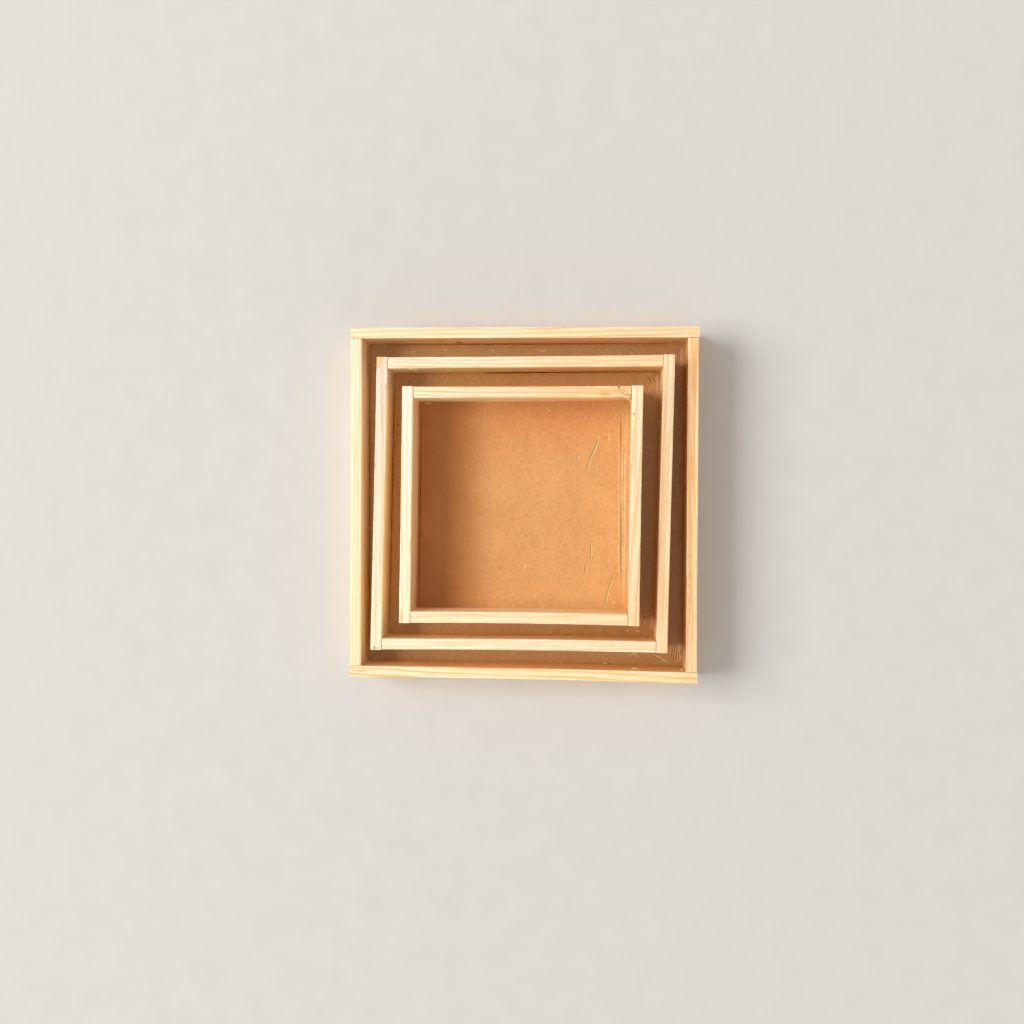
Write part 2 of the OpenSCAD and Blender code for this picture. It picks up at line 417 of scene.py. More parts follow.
def growth_rings(tree, cut, x, y, z, bend):
    """Late wood from 0 to 1 at a point of the strip, given in mm, and the ring's number."""
    seed = cut.seed * SEED_STEP
    sway = (tree.noise(tree.vector(x * SWAY_ALONG, seed, 0.0), 1.0) - 0.5) * SWAY_REACH
    lift = (tree.noise(tree.vector(x * SWAY_ALONG, 0.0, seed), 1.0) - 0.5) * SWAY_REACH
    spot = tree.vector(x * RIPPLE_ALONG, y * RIPPLE_ACROSS, z * RIPPLE_ACROSS + seed)
    ripple = (tree.noise(spot, 1.0, 3.0) - 0.5) * RIPPLE_REACH
    across = y - cut.heart[0] + sway
    above = z - WALL_H / MM + cut.heart[1] + lift
    distance = (across * across + above * above) ** 0.5
    ring = (distance + x * cut.drift + ripple + bend) / cut.width + seed
    share = tree.math("FRACT", ring)
    number = tree.math("FLOOR", ring)
    fade = tree.noise(tree.vector(x * FADE_ALONG, number * RING_STEP, seed), 1.0)
    late = share.rise(LATE_FROM, LATE_FULL) * share.rise(1.0, LATE_TO) * (0.25 + 1.5 * fade).least(1.2)
    return late, number


print("rings sway by up to", SWAY_REACH / 2, "mm")

# %% [markdown]
# Most marks are soft ovals on the upper part of the strip. A wedge has a slanted edge, a check is a
# curved crack, and a knot also pushes the rings aside, because the trunk grew round its branch.

# %% Marks as nodes
MARK_PAINT = {
    "fleck": colour(84, 54, 34), "stain": colour(206, 172, 138), "streak": colour(150, 92, 52),
    "sap": colour(254, 250, 204), "wedge": colour(250, 206, 136), "patch": colour(252, 186, 114),
    "knot": colour(232, 180, 122)}
KNOT_BENDS = 2.4  # how far a knot pushes the rings aside, mm


def marks_on(tree, strip, x, y, z):
    """The strip's spots as (kind, strength) and how far its knots bend the rings, in mm."""
    spots = []
    bend = 0.0
    for kind, at_x, at_y, long_r, wide_r, strength in MARKS.get(strip.name, []):
        along, across = on_strip(strip, at_x, at_y)
        dx = (x - along) / long_r
        dy = (y - across) / wide_r
        reach = (dx * dx + dy * dy) ** 0.5
        top = z.rise(20.0, 26.0)
        if kind == "wedge":
            # a slanted edge with an orange line along it
            slant = 1.2 - 0.7 * dx - dy
            inside = abs(dx).rise(1.08, 0.94) * top * strength
            spots.append((kind, slant.rise(-0.15, 0.15) * inside))
            spots.append(("patch", abs(slant).rise(0.35, 0.05) * inside))
        elif kind == "check":
            # a crack that curves away across the strip
            line = long_r * tree.math("EXPONENT", dx * 2.4)
            ends = dx.rise(-0.05, -0.2) * dx.rise(-2.1, -1.8)
            crack = abs(y - across + line).rise(1.6 * wide_r, 0.4 * wide_r)
            spots.append(("streak", crack * ends * top * strength))
        else:
            spots.append((kind, reach.rise(1.25, 0.35) * top * strength))
        if kind == "knot":
            bend = bend + reach.rise(1.9, 0.0) * top * KNOT_BENDS
    return spots, bend


print("paints for the marks:", ", ".join(MARK_PAINT))

# %% [markdown]
# The colour is laid in layers, as a painter would: early and late wood, then rings that differ in
# strength, then streaks and slow drifts of tone, then fibres, hair lines and short dark pores drawn
# out along the strip, and last the marks. One noise could not do this, because each of these has its
# own length and width. The end faces are sawn across the fibres and drink in more light, so they are
# darker. Fibres and rings also make the roughness and a very low relief.

# %% The pine finish
FIBRE_BROWN = colour(206, 160, 112)
PORE_BROWN = colour(186, 132, 92)
# orange for the upright faces: grain streaks and painted warm bounce light
FACE_STREAK_AND_BOUNCE_ORANGE = colour(222, 156, 92)
# a painted warm glow for the upper part of the upright faces
FACE_PAINTED_GLOW = colour(255, 226, 200)
SAWN_BROWN = colour(214, 168, 116)
KNOT_BROWN = colour(112, 62, 34)
KNOT_COVERS = 0.45  # how much of a knot's paint shows
KNOT_IN_FACE = {"outer_back_strip": (-38.8, 11.4, 2.1)}  # x in the set, height and radius, all in mm
PINE_RELIEF = 0.05 * MM


def pine(strip):
    """The material of one pine strip."""
    cut = CUTS[strip.name]
    material, tree = new_material("pine_" + strip.name)
    x, y, z = tree.in_mm(strip.place, strip.turn)

    def grain(along, across, shift, detail=2.0, roughness=0.5):
        """Noise drawn out along the strip. along, across: how fast it changes, per mm."""
        spot = tree.vector(x * along, y * across, z * across + cut.seed * shift)
        return tree.noise(spot, 1.0, detail, roughness)

    spots, bend = marks_on(tree, strip, x, y, z)
    late, number = growth_rings(tree, cut, x, y, z, bend)
    uneven = tree.node("ShaderNodeTexWhiteNoise", {"noise_dimensions": "1D"}, {"W": number})[0]
    fibre = grain(0.10, 3.2, 1, 4.0, 0.6)
    # the far tone is at the right or front end, whichever way the strip's own X runs
    lengthwise = Matrix.Rotation(strip.turn, 3, "Z") @ Vector((1, 0, 0))
    far_end = math.copysign(MM / strip.length, lengthwise.x - lengthwise.y)
    early_tone = tree.mix(colour(*cut.early), colour(*cut.far), (0.5 + x * far_end).clip())
    late_tone = colour(*cut.late)
    # rings, streaks, drifts of tone, fibres, hair lines and pores
    tone = tree.mix(early_tone, late_tone, late * (0.55 + 0.45 * uneven) * cut.contrast)
    tone = tree.mix(tone, late_tone, grain(0.035, 1.1, 3).rise(0.50, 0.78) * 0.50)
    tone = tree.mix(tone, early_tone, grain(0.02, 0.08, 5, 1.0).rise(0.45, 0.75) * 0.30)
    tone = tree.mix(tone, FIBRE_BROWN, fibre.rise(0.54, 0.80) * 0.34)
    tone = tree.mix(tone, late_tone, grain(0.025, 2.6, 9, 1.0).rise(0.55, 0.70) * 0.6)
    pores = PORES.get(strip.name, FEW_PORES)
    tone = tree.mix(tone, PORE_BROWN, grain(0.30, 2.6, 7).rise(0.64, 0.74) * pores)
    # upright faces, tinted as each is lit (painted light), and sawn ends
    nx, ny, nz = tree.split(tree.node("ShaderNodeTexCoord")["Normal"])
    end = abs(nx * math.cos(strip.turn) + ny * math.sin(strip.turn)).rise(0.75, 0.9)
    side = abs(nz).rise(0.75, 0.35)
    tone = tree.mix(tone, colour(*cut.face), side, "MULTIPLY")
    # orange streaks on the upright faces, partly grain and partly painted warm bounce light
    tone = tree.mix(tone, FACE_STREAK_AND_BOUNCE_ORANGE, grain(0.025, 1.3, 11).rise(0.48, 0.70) * side * 0.45)
    # painted glow: the upper part of each upright face warmer, towards the lit rim
    tone = tree.mix(tone, FACE_PAINTED_GLOW, side * z.rise(9.0, 17.0) * 0.35, "MULTIPLY")
    tone = tree.mix(tone, SAWN_BROWN, end * (0.45 + 0.4 * late))
    if strip.name in KNOT_IN_FACE:
        knot_x, knot_z, radius = KNOT_IN_FACE[strip.name]
        from_knot = (x - on_strip(strip, knot_x, 0)[0]) / radius
        over_knot = (z - knot_z) / radius
        dark = (from_knot * from_knot + over_knot * over_knot).rise(1.5, 0.4) * y.rise(0.0, 2.0)
        tone = tree.mix(tone, KNOT_BROWN, dark * 0.8)
    for kind, spot in spots:
        tone = tree.mix(tone, MARK_PAINT[kind], spot * (KNOT_COVERS if kind == "knot" else 1.0))
    relief = fibre * 0.6 + late * 0.5 + tree.noise(tree.vector(x, y, z), 0.6) * 0.5
    saw_marks = tree.noise(tree.vector(x, y * 0.5, z * 3.0), 1.4) * end * 2.0
    tree.surface(tree.principled({
        "Base Color": tone, "Roughness": 0.50 + fibre * 0.22 - late * 0.08,
        "Normal": tree.bump(relief + saw_marks, 0.55, PINE_RELIEF), "Specular IOR Level": 0.35}))
    return material


PINE = {strip.name: pine(strip) for strip in STRIPS}
print("pine finishes:", len(PINE))

# %% [markdown]
# ## The strips
#
# A strip could be a scaled cube with a bevel, but a cube has no groove and no bend. It is one shape
# drawn along a line, so Geometry Nodes sweep it: the section of a planed lath with its floor groove,
# along a line as long as the strip. Then the points move a little. A plane leaves long shallow waves,
# handling wears the edges, wood bows as it dries, and three strips have a bite out of their inner top
# edge. Waves, wear and bites only take wood away, and the bow bends the middle of a strip towards the
# inside of its tray, so no strip reaches past the outside of its engineering model. Its outer face
# lies a tenth of a millimetre back, and the heads of the brads stand that much proud.

# %% Draw the section of a lath
FACE_BACK = 0.1 * MM
SECTION_STEP = 1.3 * MM
ARC_STEPS = 4


def walk(*corners):
    """Points from corner to corner, no more than a step apart, without the last corner."""
    points = []
    for start, end in zip(corners, corners[1:]):
        way = Vector(end) - Vector(start)
        count = max(1, math.ceil(way.length / SECTION_STEP))
        points += [Vector(start).lerp(Vector(end), i / count) for i in range(count)]
    return points


def arc(centre, first):
    """A quarter turn of edge rounding, from the angle first."""
    angles = [first + math.pi / 2 * i / ARC_STEPS for i in range(ARC_STEPS)]
    return [Vector(centre) + EDGE_R * Vector((math.cos(a), math.sin(a))) for a in angles]


def lath_section():
    """The section's outline, counter-clockwise: across from outer (-) to inner (+) face, and up."""
    out, into = -WALL_T / 2 + FACE_BACK, WALL_T / 2
    groove = into - GROOVE_DEPTH
    r = EDGE_R
    top = WALL_H - r
    points = arc((into - r, r), -math.pi / 2)
    points += walk((into, r), (into, GROOVE_FOOT), (groove, GROOVE_FOOT), (groove, GROOVE_TOP),
                   (into, GROOVE_TOP), (into, top))
    points += arc((into - r, top), 0.0)
    points += walk((into - r, WALL_H), (out + r, WALL_H))
    points += arc((out + r, top), math.pi / 2)
    points += walk((out, top), (out, r))
    points += arc((out + r, r), math.pi)
    points += walk((out + r, 0), (into - r, 0))
    return points


def plain_mesh(name, points, edges, faces=()):
    """A mesh of points, and the edges and faces between them."""
    mesh = bpy.data.meshes.new(name)
    mesh.from_pydata(points, edges, faces)
    return mesh


# A swept profile lies with its X along -Y and its Y along -Z, so the section is drawn turned round.
rim = [Vector((-p.x, -p.y, 0)) for p in lath_section()]
rim_edges = [(i, (i + 1) % len(rim)) for i in range(len(rim))]
SECTION = plain_mesh("lath_section", rim, rim_edges)
print("points round the section:", len(SECTION.vertices))

# %% [markdown]
# A Geometry Nodes tree works as a modifier on a mesh. Here it runs once on a start mesh, and its
# result is kept as a plain mesh. Nothing live stays in the scene, so a size is changed in the script
# and not in the modifier, and what is seen is that plain mesh.

# %% Helpers that run a tree
def new_tree(name, asked):
    """A Geometry Nodes tree with named inputs, and those inputs as shades."""
    group = bpy.data.node_groups.new(name, "GeometryNodeTree")
    group.is_modifier = True
    for label, kind in asked.items():
        group.interface.new_socket(label, in_out="INPUT", socket_type="NodeSocket" + kind)
    group.interface.new_socket("Geometry", in_out="OUTPUT", socket_type="NodeSocketGeometry")
    tree = Tree(group)
    given = tree.node("NodeGroupInput")
    return tree, {label: given[label] for label in asked}


def end_tree(tree, shape, finish):
    """Ends a tree as every tree here ends: real geometry, with its finish on."""
    real = tree.node("GeometryNodeRealizeInstances", None, {"Geometry": shape})[0]
    dressed = tree.node("GeometryNodeSetMaterial", None, {"Geometry": real, "Material": finish})[0]
    tree.node("NodeGroupOutput", None, {"Geometry": dressed})


def grow(name, start, tree, values):
    """Runs a tree on the mesh start with these inputs, and returns a plain mesh object."""
    source = bpy.data.objects.new(name + "_source", start)
    scene.collection.objects.link(source)
    modifier = source.modifiers.new("grow", "NODES")
    modifier.node_group = tree.group
    for item in tree.group.interface.items_tree:
        if item.in_out == "INPUT" and item.name in values:
            modifier[item.identifier] = values[item.name]
    bpy.context.view_layer.update()
    evaluated = source.evaluated_get(bpy.context.evaluated_depsgraph_get())
    mesh = bpy.data.meshes.new_from_object(evaluated)
    bpy.data.objects.remove(source)
    return show(name, mesh)


def show(name, mesh):
    """Puts a finished mesh in the scene."""
    mesh.name = name
    piece = bpy.data.objects.new(name, mesh)
    scene.collection.objects.link(piece)
    return piece


def triangles(piece):
    return sum(len(face.vertices) - 2 for face in piece.data.polygons)


print("helpers that run a tree:", new_tree.__name__, end_tree.__name__, grow.__name__, show.__name__)

# %% The tree that sweeps a strip
WEAR_REACH = 1.2 * MM
BITE_ACROSS = 1.0 * MM
BITE_DOWN = 3.0 * MM
NOISE_STEP = 3.7  # how far the noises move on from strip to strip


def strip_tree():
    """Sweeps the section along a line, then planes, wears, bites and bows it."""
    tree, given = new_tree("planed_strip", {
        "Section": "Geometry", "Length": "Float", "Spacing": "Float", "Bow": "Float", "Wear": "Float",
        "Planing": "Float", "Seed": "Float", "Nick Place": "Float", "Nick Length": "Float",
        "Nick Depth": "Float", "Turn": "Float", "Place": "Vector", "Finish": "Material"})
    half = given["Length"] * 0.5
    line = tree.node("GeometryNodeCurvePrimitiveLine", None, {
        "Start": tree.vector(half * -1.0, 0.0, 0.0), "End": tree.vector(half, 0.0, 0.0)})[0]
    line = tree.node("GeometryNodeResampleCurve", None, {
        "Curve": line, "Count": given["Length"] / given["Spacing"]})[0]
    profile = tree.node("GeometryNodeMeshToCurve", None, {"Mesh": given["Section"]})[0]
    lath = tree.node("GeometryNodeCurveToMesh", None, {
        "Curve": line, "Profile Curve": profile, "Fill Caps": True})[0]
    point = tree.node("GeometryNodeInputPosition")[0]
    normal = tree.node("GeometryNodeInputNormal")[0]
    x, y, z = tree.split(point)
    seed = given["Seed"] * NOISE_STEP
    # the plane's waves. These noises are scaled per metre.
    waves = tree.noise(tree.vector(x * 25.0 + seed, y * 90.0, z * 90.0), 1.0)
    # how near an edge of the section a point is
    from_face = WALL_T / 2 - abs(y)
    from_rim = z.least(WALL_H - z)
    edge = (1.0 - from_face.most(from_rim) / WEAR_REACH).clip()
    rubbed = tree.noise(tree.vector(x * 60.0 + seed, y * 300.0, z * 120.0), 1.0, 3.0)
    chipped = tree.noise(tree.vector(x * 420.0, y * 500.0 + seed, z * 500.0), 1.0, 1.0)
    wear = edge * (rubbed.rise(0.35, 0.8) + chipped.rise(0.66, 0.8) * 0.8) * given["Wear"]
    # one bite at the inner top edge
    bite = (1.0 - abs(x - given["Nick Place"]) / given["Nick Length"]).clip() ** 0.5
    at_edge = (WALL_T / 2 - y).rise(BITE_ACROSS, 0.0) * (WALL_H - z).rise(BITE_DOWN, 0.0)
    nick = bite * at_edge * given["Nick Depth"]
    depth = waves * given["Planing"] + wear + nick
    inwards = tree.node("ShaderNodeVectorMath", {"operation": "SCALE"}, {
        "Vector": normal, "Scale": depth * -1.0})[0]
    share = x / half
    bow = tree.vector(0.0, (1.0 - share * share) * given["Bow"], 0.0)
    lath = tree.node("GeometryNodeSetPosition", None, {"Geometry": lath, "Offset": inwards})[0]
    lath = tree.node("GeometryNodeSetPosition", None, {"Geometry": lath, "Offset": bow})[0]
    turn = tree.vector(0.0, 0.0, given["Turn"])
    lath = tree.node("GeometryNodeTransform", None, {
        "Geometry": lath, "Translation": given["Place"], "Rotation": turn})[0]
    lath = tree.node("GeometryNodeSetShadeSmooth", None, {"Geometry": lath})[0]
    end_tree(tree, lath, given["Finish"])
    return tree


STRIP_TREE = strip_tree()
print("nodes in the strip tree:", len(STRIP_TREE.group.nodes))

# %% [markdown]
# Now the tree runs once for each strip. The faces are shaded smooth, with sharp lines wherever two
# faces meet at more than 35 degrees, so that the long waves look like planed wood and the sawn ends
# stay crisp.

# %% Sweep the twelve strips
# How far the middle of a strip bows inwards, mm, on these strips and on all others.
BOW = {"outer_front_strip": 0.5, "middle_front_strip": 0.45, "small_front_strip": 0.4,
       "outer_back_strip": 0.15, "small_back_strip": 0.2, "middle_back_strip": 0.15}
SLIGHT_BOW = 0.1
# A bite out of the inner top edge: x and y in the set, half length and depth, all in mm.
NICKS = {"small_left_strip": (-61.85, -24.0, 3.6, 0.75), "middle_left_strip": (-79.4, 66.0, 2.0, 0.5),
         "outer_right_strip": (94.6, -43.0, 3.0, 0.35)}
NO_NICK = (0.0, 0.0, 1.0, 0.0)
POINT_SPACING = 1.0 * MM
WEAR_DEPTH = 0.22 * MM
PLANING_DEPTH = 0.07 * MM
SHARP = math.radians(35)


def sweep(strip):
    """One finished strip, in its place."""
    nick_x, nick_y, nick_length, nick_depth = NICKS.get(strip.name, NO_NICK)
    piece = grow(strip.name, SECTION, STRIP_TREE, {
        "Length": strip.length, "Spacing": POINT_SPACING, "Bow": BOW.get(strip.name, SLIGHT_BOW) * MM,
        "Wear": WEAR_DEPTH, "Planing": PLANING_DEPTH, "Seed": float(CUTS[strip.name].seed),
        "Nick Place": on_strip(strip, nick_x, nick_y)[0] * MM, "Nick Length": nick_length * MM,
        "Nick Depth": nick_depth * MM, "Turn": strip.turn, "Place": strip.place,
        "Finish": PINE[strip.name]})
    piece.data.set_sharp_from_angle(angle=SHARP)
    return piece


for strip in STRIPS:
    piece = sweep(strip)
    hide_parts(strip.name.replace("_strip", "_wall"))
    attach(piece, strip.tray.body)
    print(piece.name, triangles(piece), "triangles")

# %% [markdown]
# ## The hardboard floors
#
# The floors are thin hardboard: wood fibres pressed hot into a smooth brown sheet, with the print of
# a wire screen on its back. The fibres could be modelled as thousands of hairs, but they lie flat in
# a sealed surface, so the panels stay the engineering model's own solids and only the finish is made:
# short fibres, most of them along Y, a few pale strands, a fine speckle, cloudy tones, and the
# screen's grid underneath. The small tray's board carries painted shadow: it darkens towards the
# left, where its left wall's shadow falls, and near its back wall.

# %% The hardboard finish
# tone: fresh. shade: the darker tone. The third number is how much painted shadow the board gets, at its
# left and near its back wall.
Board = namedtuple("Board", "tone shade aged seed")
BOARDS = {
    "outer": Board((212, 160, 94), (200, 142, 78), 0.0, 21.0),
    "middle": Board((220, 160, 90), (208, 142, 74), 0.0, 34.0),
    "small": Board((248, 182, 115), (196, 121, 57), 1.0, 47.0),
}
# Dark specks: x and y in the set, half length along Y, half width, all in mm, and strength.
BOARD_MARKS = {"middle": [(-74.9, 46.0, 0.7, 0.6, 0.9)], "small": [(-15.2, -45.4, 0.5, 0.4, 0.4)]}
BLOTCH_OLIVE = colour(186, 138, 64)
# a painted shade tint for the small board near its back wall
BACK_WALL_SHADE_TINT = colour(240, 202, 184)
PALE_FIBRE = colour(250, 198, 138)
DARK_FIBRE = colour(178, 108, 54)
CROSS_FIBRE = colour(250, 196, 134)
SPECKLE_BROWN = colour(176, 108, 54)
STRAND_PALE = colour(255, 214, 158)
SPECK_BROWN = colour(92, 52, 28)
SCREEN_BROWN = colour(150, 104, 66)
SCREEN_PITCH = 1.3  # mm from wire to wire
BOARD_RELIEF = 0.05 * MM


def hardboard(tray):
    """The material of one floor panel."""
    board = BOARDS[tray.name]
    seed = board.seed
    material, tree = new_material("hardboard_" + tray.name)
    turn = tray.turn - math.radians(90) * (tray.turn > 1)  # so that y runs to the back in each tray
    x, y, z = tree.in_mm(tray.place, turn)
    fibre = tree.noise(tree.vector(x * 1.3, y * 0.42, z + seed), 1.0, 3.0, 0.6, 0.4)
    crossing = tree.noise(tree.vector(x * 0.8, y * 2.2, z - seed), 1.0, 2.0, 0.6, 0.5)
    speckle = tree.noise(tree.vector(x, y, z + seed * 2), 1.7, 3.0, 0.6)
    # clouds, and a painted shadow that darkens the board towards the left
    cloud = tree.noise(tree.vector(x * 0.05, y * 0.035, seed), 1.0, 3.0, 0.55)
    painted_left_shadow = 0.22 * x.rise(60.0, -20.0) + 0.70 * x.rise(-14.0, -42.0)
    cloud_and_painted_shadow = 0.2 * cloud.rise(0.30, 0.74) + board.aged * painted_left_shadow
    tone = tree.mix(colour(*board.tone), colour(*board.shade), cloud_and_painted_shadow)
    blotch = tree.noise(tree.vector(x * 0.20, y * 0.13, z + seed * 3), 1.0, 3.0, 0.6, 0.5)
    tone = tree.mix(tone, BLOTCH_OLIVE, blotch.rise(0.46, 0.70) * (0.30 - 0.18 * board.aged))
    # painted shade: the small board darker and warmer near its back wall
    painted_back_shade = board.aged * y.rise(14.0, 58.0) * x.rise(-44.0, 10.0) * x.rise(64.0, 40.0)
    tone = tree.mix(tone, BACK_WALL_SHADE_TINT, painted_back_shade * 0.6, "MULTIPLY")
    # fibres, speckle and strands, which fade where clouds or the painted shadow make the board browner
    fresh = 1.0 - 0.8 * cloud_and_painted_shadow
    tone = tree.mix(tone, PALE_FIBRE, fibre.rise(0.50, 0.74) * fresh * 0.46)
    tone = tree.mix(tone, DARK_FIBRE, fibre.rise(0.50, 0.26) * 0.36)
    tone = tree.mix(tone, CROSS_FIBRE, crossing.rise(0.54, 0.74) * fresh * 0.34)
    tone = tree.mix(tone, SPECKLE_BROWN, speckle.rise(0.56, 0.78) * 0.16)
    strand = abs(tree.noise(tree.vector(x * 0.36, y * 0.22, z + seed * 5), 1.0, 2.0, 0.5, 1.2) - 0.5)
    where = tree.noise(tree.vector(x * 0.16, y * 0.16, z + seed * 7), 1.0).rise(0.56, 0.70)
    tone = tree.mix(tone, STRAND_PALE, strand.rise(0.016, 0.002) * where * fresh * 0.5)
    for at_x, at_y, long_r, wide_r, strength in BOARD_MARKS.get(tray.name, []):
        spot = Matrix.Rotation(-turn, 3, "Z") @ (Vector((at_x * MM, at_y * MM, 0)) - tray.place)
        dx = (x - spot.x / MM) / wide_r
        dy = (y - spot.y / MM) / long_r
        dark = (dx * dx + dy * dy).rise(1.4, 0.3) * z.rise(6.5, 6.9)
        tone = tree.mix(tone, SPECK_BROWN, dark * strength)
    # the screen's print, on the lower half of the board
    wires = [tree.math("SINE", way * (2 * math.pi / SCREEN_PITCH)) for way in (x, y)]
    grid = wires[0].most(wires[1])
    back = z.rise(5.6, 5.4)
    tone = tree.mix(tone, SCREEN_BROWN, back * (0.35 + 0.4 * grid.rise(0.2, 0.9)))
    relief = fibre * 0.7 + speckle * 0.3 + grid * back * 2.0
    tree.surface(tree.principled({
        "Base Color": tone, "Roughness": 0.42 + 0.2 * speckle + back * 0.25,
        "Normal": tree.bump(relief, 0.5, BOARD_RELIEF), "Specular IOR Level": 0.3}))
    return material


for tray in TRAYS:
    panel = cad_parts[tray.name + "_floor_panel"]
    panel.material_slots[0].material = hardboard(tray)
    print(panel.name, "has its finish:", panel.material_slots[0].material.name)

# %% [markdown]
# ## The film
#
# A clear film lies over each floor and turns up 8 mm at the walls, round in its corners. It lets
# light straight through and mirrors a little of it, more at a glance. Glass would bend the light and
# need many more rays, so a see-through shader and a mirroring one are mixed, with a share that grows
# with the glance.

# %% What all film finishes share
FILM_GLANCE = 0.30  # the share of light that the film mirrors at a glance
GLANCE_POWER = 5.0
FILM_RELIEF = 0.06 * MM
MIRROR_TINT = (0.96, 0.98, 1.0, 1.0)
# head_on: the share that it mirrors when met head on. blur: the least roughness of that mirror.
# upright: how much of FILM_GLANCE is left where the film stands up at the walls.
Sheet = namedtuple("Sheet", "head_on blur upright")
SHEETS = {"small": Sheet(0.008, 0.26, 0.1), "middle": Sheet(0.020, 0.34, 0.7),
          "outer": Sheet(0.026, 0.34, 0.7)}
FOLD = Sheet(0.006, 0.30, 0.3)
# scuff: a noise from 0 to 1. turned: 1 where the film stands up at a wall. gloss: its mirror, and
# mirrored: how much of that shows.
Film = namedtuple("Film", "material tree scuff turned gloss mirrored")


def start_film(name, sheet):
    """A film material's first nodes."""
    material, tree = new_material(name)
    x, y, z = tree.in_mm()
    scuff = tree.noise(tree.vector(x * 0.25, y * 0.12, z), 1.0, 3.0, 0.6)
    ripple = tree.noise(tree.vector(x * 0.9, y * 0.25, z), 1.0)
    normal = tree.bump(ripple, 0.6, FILM_RELIEF)
    glance = tree.node("ShaderNodeLayerWeight", None, {"Blend": 0.5, "Normal": normal})["Facing"]
    turned = tree.node("ShaderNodeAttribute", {"attribute_name": "height_mm"})["Fac"].rise(0.30, 2.4)
    upright = 1.0 - (1.0 - sheet.upright) * turned
    mirrored = sheet.head_on + FILM_GLANCE * upright * glance ** GLANCE_POWER
    gloss = tree.principled({
        "Base Color": MIRROR_TINT, "Metallic": 1.0, "Roughness": sheet.blur + scuff * 0.16,
        "Normal": normal})
    return Film(material, tree, scuff, turned, gloss, mirrored)


def clear(tree, tint):
    """Lets light straight through with a tint."""
    return tree.node("ShaderNodeBsdfTransparent", None, {"Color": tint})[0]


def laid(tree, under, over, share):
    """One shader over another."""
    return tree.node("ShaderNodeMixShader", None, {0: share, 1: under, 2: over})[0]


def tinted(tree, thin, thick, share):
    """Clear film between two tints."""
    return laid(tree, clear(tree, thin), clear(tree, thick), share)


def end_film(film, body):
    """Lays the mirror over the film's body, and ends its tree."""
    film.tree.surface(laid(film.tree, body, film.gloss, film.mirrored))
    return film.material


print("kinds of film:", len(SHEETS), "flat and one folded")

# %% [markdown]
# Film that is folded is stretched there: it turns milky and pale, or it stands at a slope that lets
# less light through and looks dark. Real creases have both, on opposite slopes. Here the pale is
# partly a painted highlight and the dark is painted shade, and on the deep creases the way a slope
# faces picks which one it gets. So the creases get finishes of their own, which only differ from the
# flat film in what lies under the mirror.

# %% The film finishes
CLEAR, YELLOWED = colour(254, 254, 253), colour(254, 250, 240)
# the deep creases' tints: clear, painted shade, and the pale colours of their painted highlight
CREASE_CLEAR, CREASE_PAINTED_SHADE = colour(254, 253, 250), colour(196, 146, 100)
CREASE_PALE_HIGHLIGHT, CREASE_ORANGE_HIGHLIGHT = colour(255, 236, 184), colour(255, 224, 164)
MILKY = {"Roughness": 0.45, "Specular IOR Level": 0.15}


def flat_film(tray):
    """Clear film, a little yellow where it turns up at the walls."""
    film = start_film("clear_film_" + tray.name, SHEETS[tray.name])
    return end_film(film, tinted(film.tree, CLEAR, YELLOWED, film.turned * (0.4 + 0.6 * film.scuff)))


def creased_film():
    """Film at a deep fold: painted shade on the slopes that face left and back, and a pale painted
    highlight on those that face right and front.
    """
    film = start_film("clear_film_crease", FOLD)
    tree, scuff = film.tree, film.scuff
    right, back, up = tree.split(tree.node("ShaderNodeTexCoord")["Normal"])
    slope = right * 0.8 - back * 0.6
    above = up.rise(0.0, 0.5)
    # painted shade and painted highlight, picked by which way each slope faces
    dark = slope.rise(-0.03, -0.12) * above
    painted_highlight_side = slope.rise(0.03, 0.12) * above
    pale = tree.principled({"Base Color": tree.mix(CREASE_PALE_HIGHLIGHT, CREASE_ORANGE_HIGHLIGHT, scuff), **MILKY})
    body = tinted(tree, CREASE_CLEAR, CREASE_PAINTED_SHADE, dark * (0.3 + 1.0 * scuff).least(1.0))
    return end_film(film, laid(tree, body, pale, painted_highlight_side * (0.1 + 1.5 * scuff).least(0.95)))


def dark_film(name, thin, thick):
    """Film at a fold, tinted dark as painted shade, from a thin tint to a thick one."""
    film = start_film(name, FOLD)
    return end_film(film, tinted(film.tree, thin, thick, film.scuff))


def pale_film(name, pale, cover):
    """Film at a fine crease or scratch, stretched pale, and so partly a painted highlight of the light it
    catches. cover: how thickly it hides what is below.
    """
    film = start_film(name, FOLD)
    tree = film.tree
    above = tree.split(tree.node("ShaderNodeTexCoord")["Normal"])[2].rise(0.0, 0.5)
    stretched = tree.principled({"Base Color": pale, **MILKY})
    share = above * film.scuff.rise(0.2, 0.7) * cover
    return end_film(film, laid(tree, clear(tree, CREASE_CLEAR), stretched, share))


FILM = {tray.name: flat_film(tray) for tray in TRAYS}
CREASED_FILM = creased_film()
# a painted shadow line for the long folds at the foot of the walls
FOLD_SHADOW_FILM = dark_film("clear_film_dark_fold", colour(248, 226, 196), colour(222, 178, 132))
SHADE_FILM = dark_film("clear_film_shade_fold", colour(252, 244, 230), colour(240, 214, 184))
# pale fine creases: stretched film and partly painted highlight, each tray's tint set to the light on its
# floor
PALE_FILM = {"small": pale_film("clear_film_pale_small", colour(255, 226, 168), 0.75),
             "middle": pale_film("clear_film_pale_middle", colour(255, 196, 132), 0.8),
             "outer": pale_film("clear_film_pale_outer", colour(255, 204, 140), 0.8)}
SCRATCHED_FILM = pale_film("clear_film_scratched", colour(255, 218, 162), 1.0)
film_names = [made.name for made in bpy.data.materials if made.name.startswith("clear_film_")]
print("film finishes:", ", ".join(film_names))

# %% [markdown]
# Film is not quite flat: it has slow waves, and its cut edge wanders. A cloth simulation could drape
# it, but the film was pressed, so its form is known. Its top is built as rings, from the cut edge
# down to the floor, and a fine grid fills the middle. Its underside is plain.

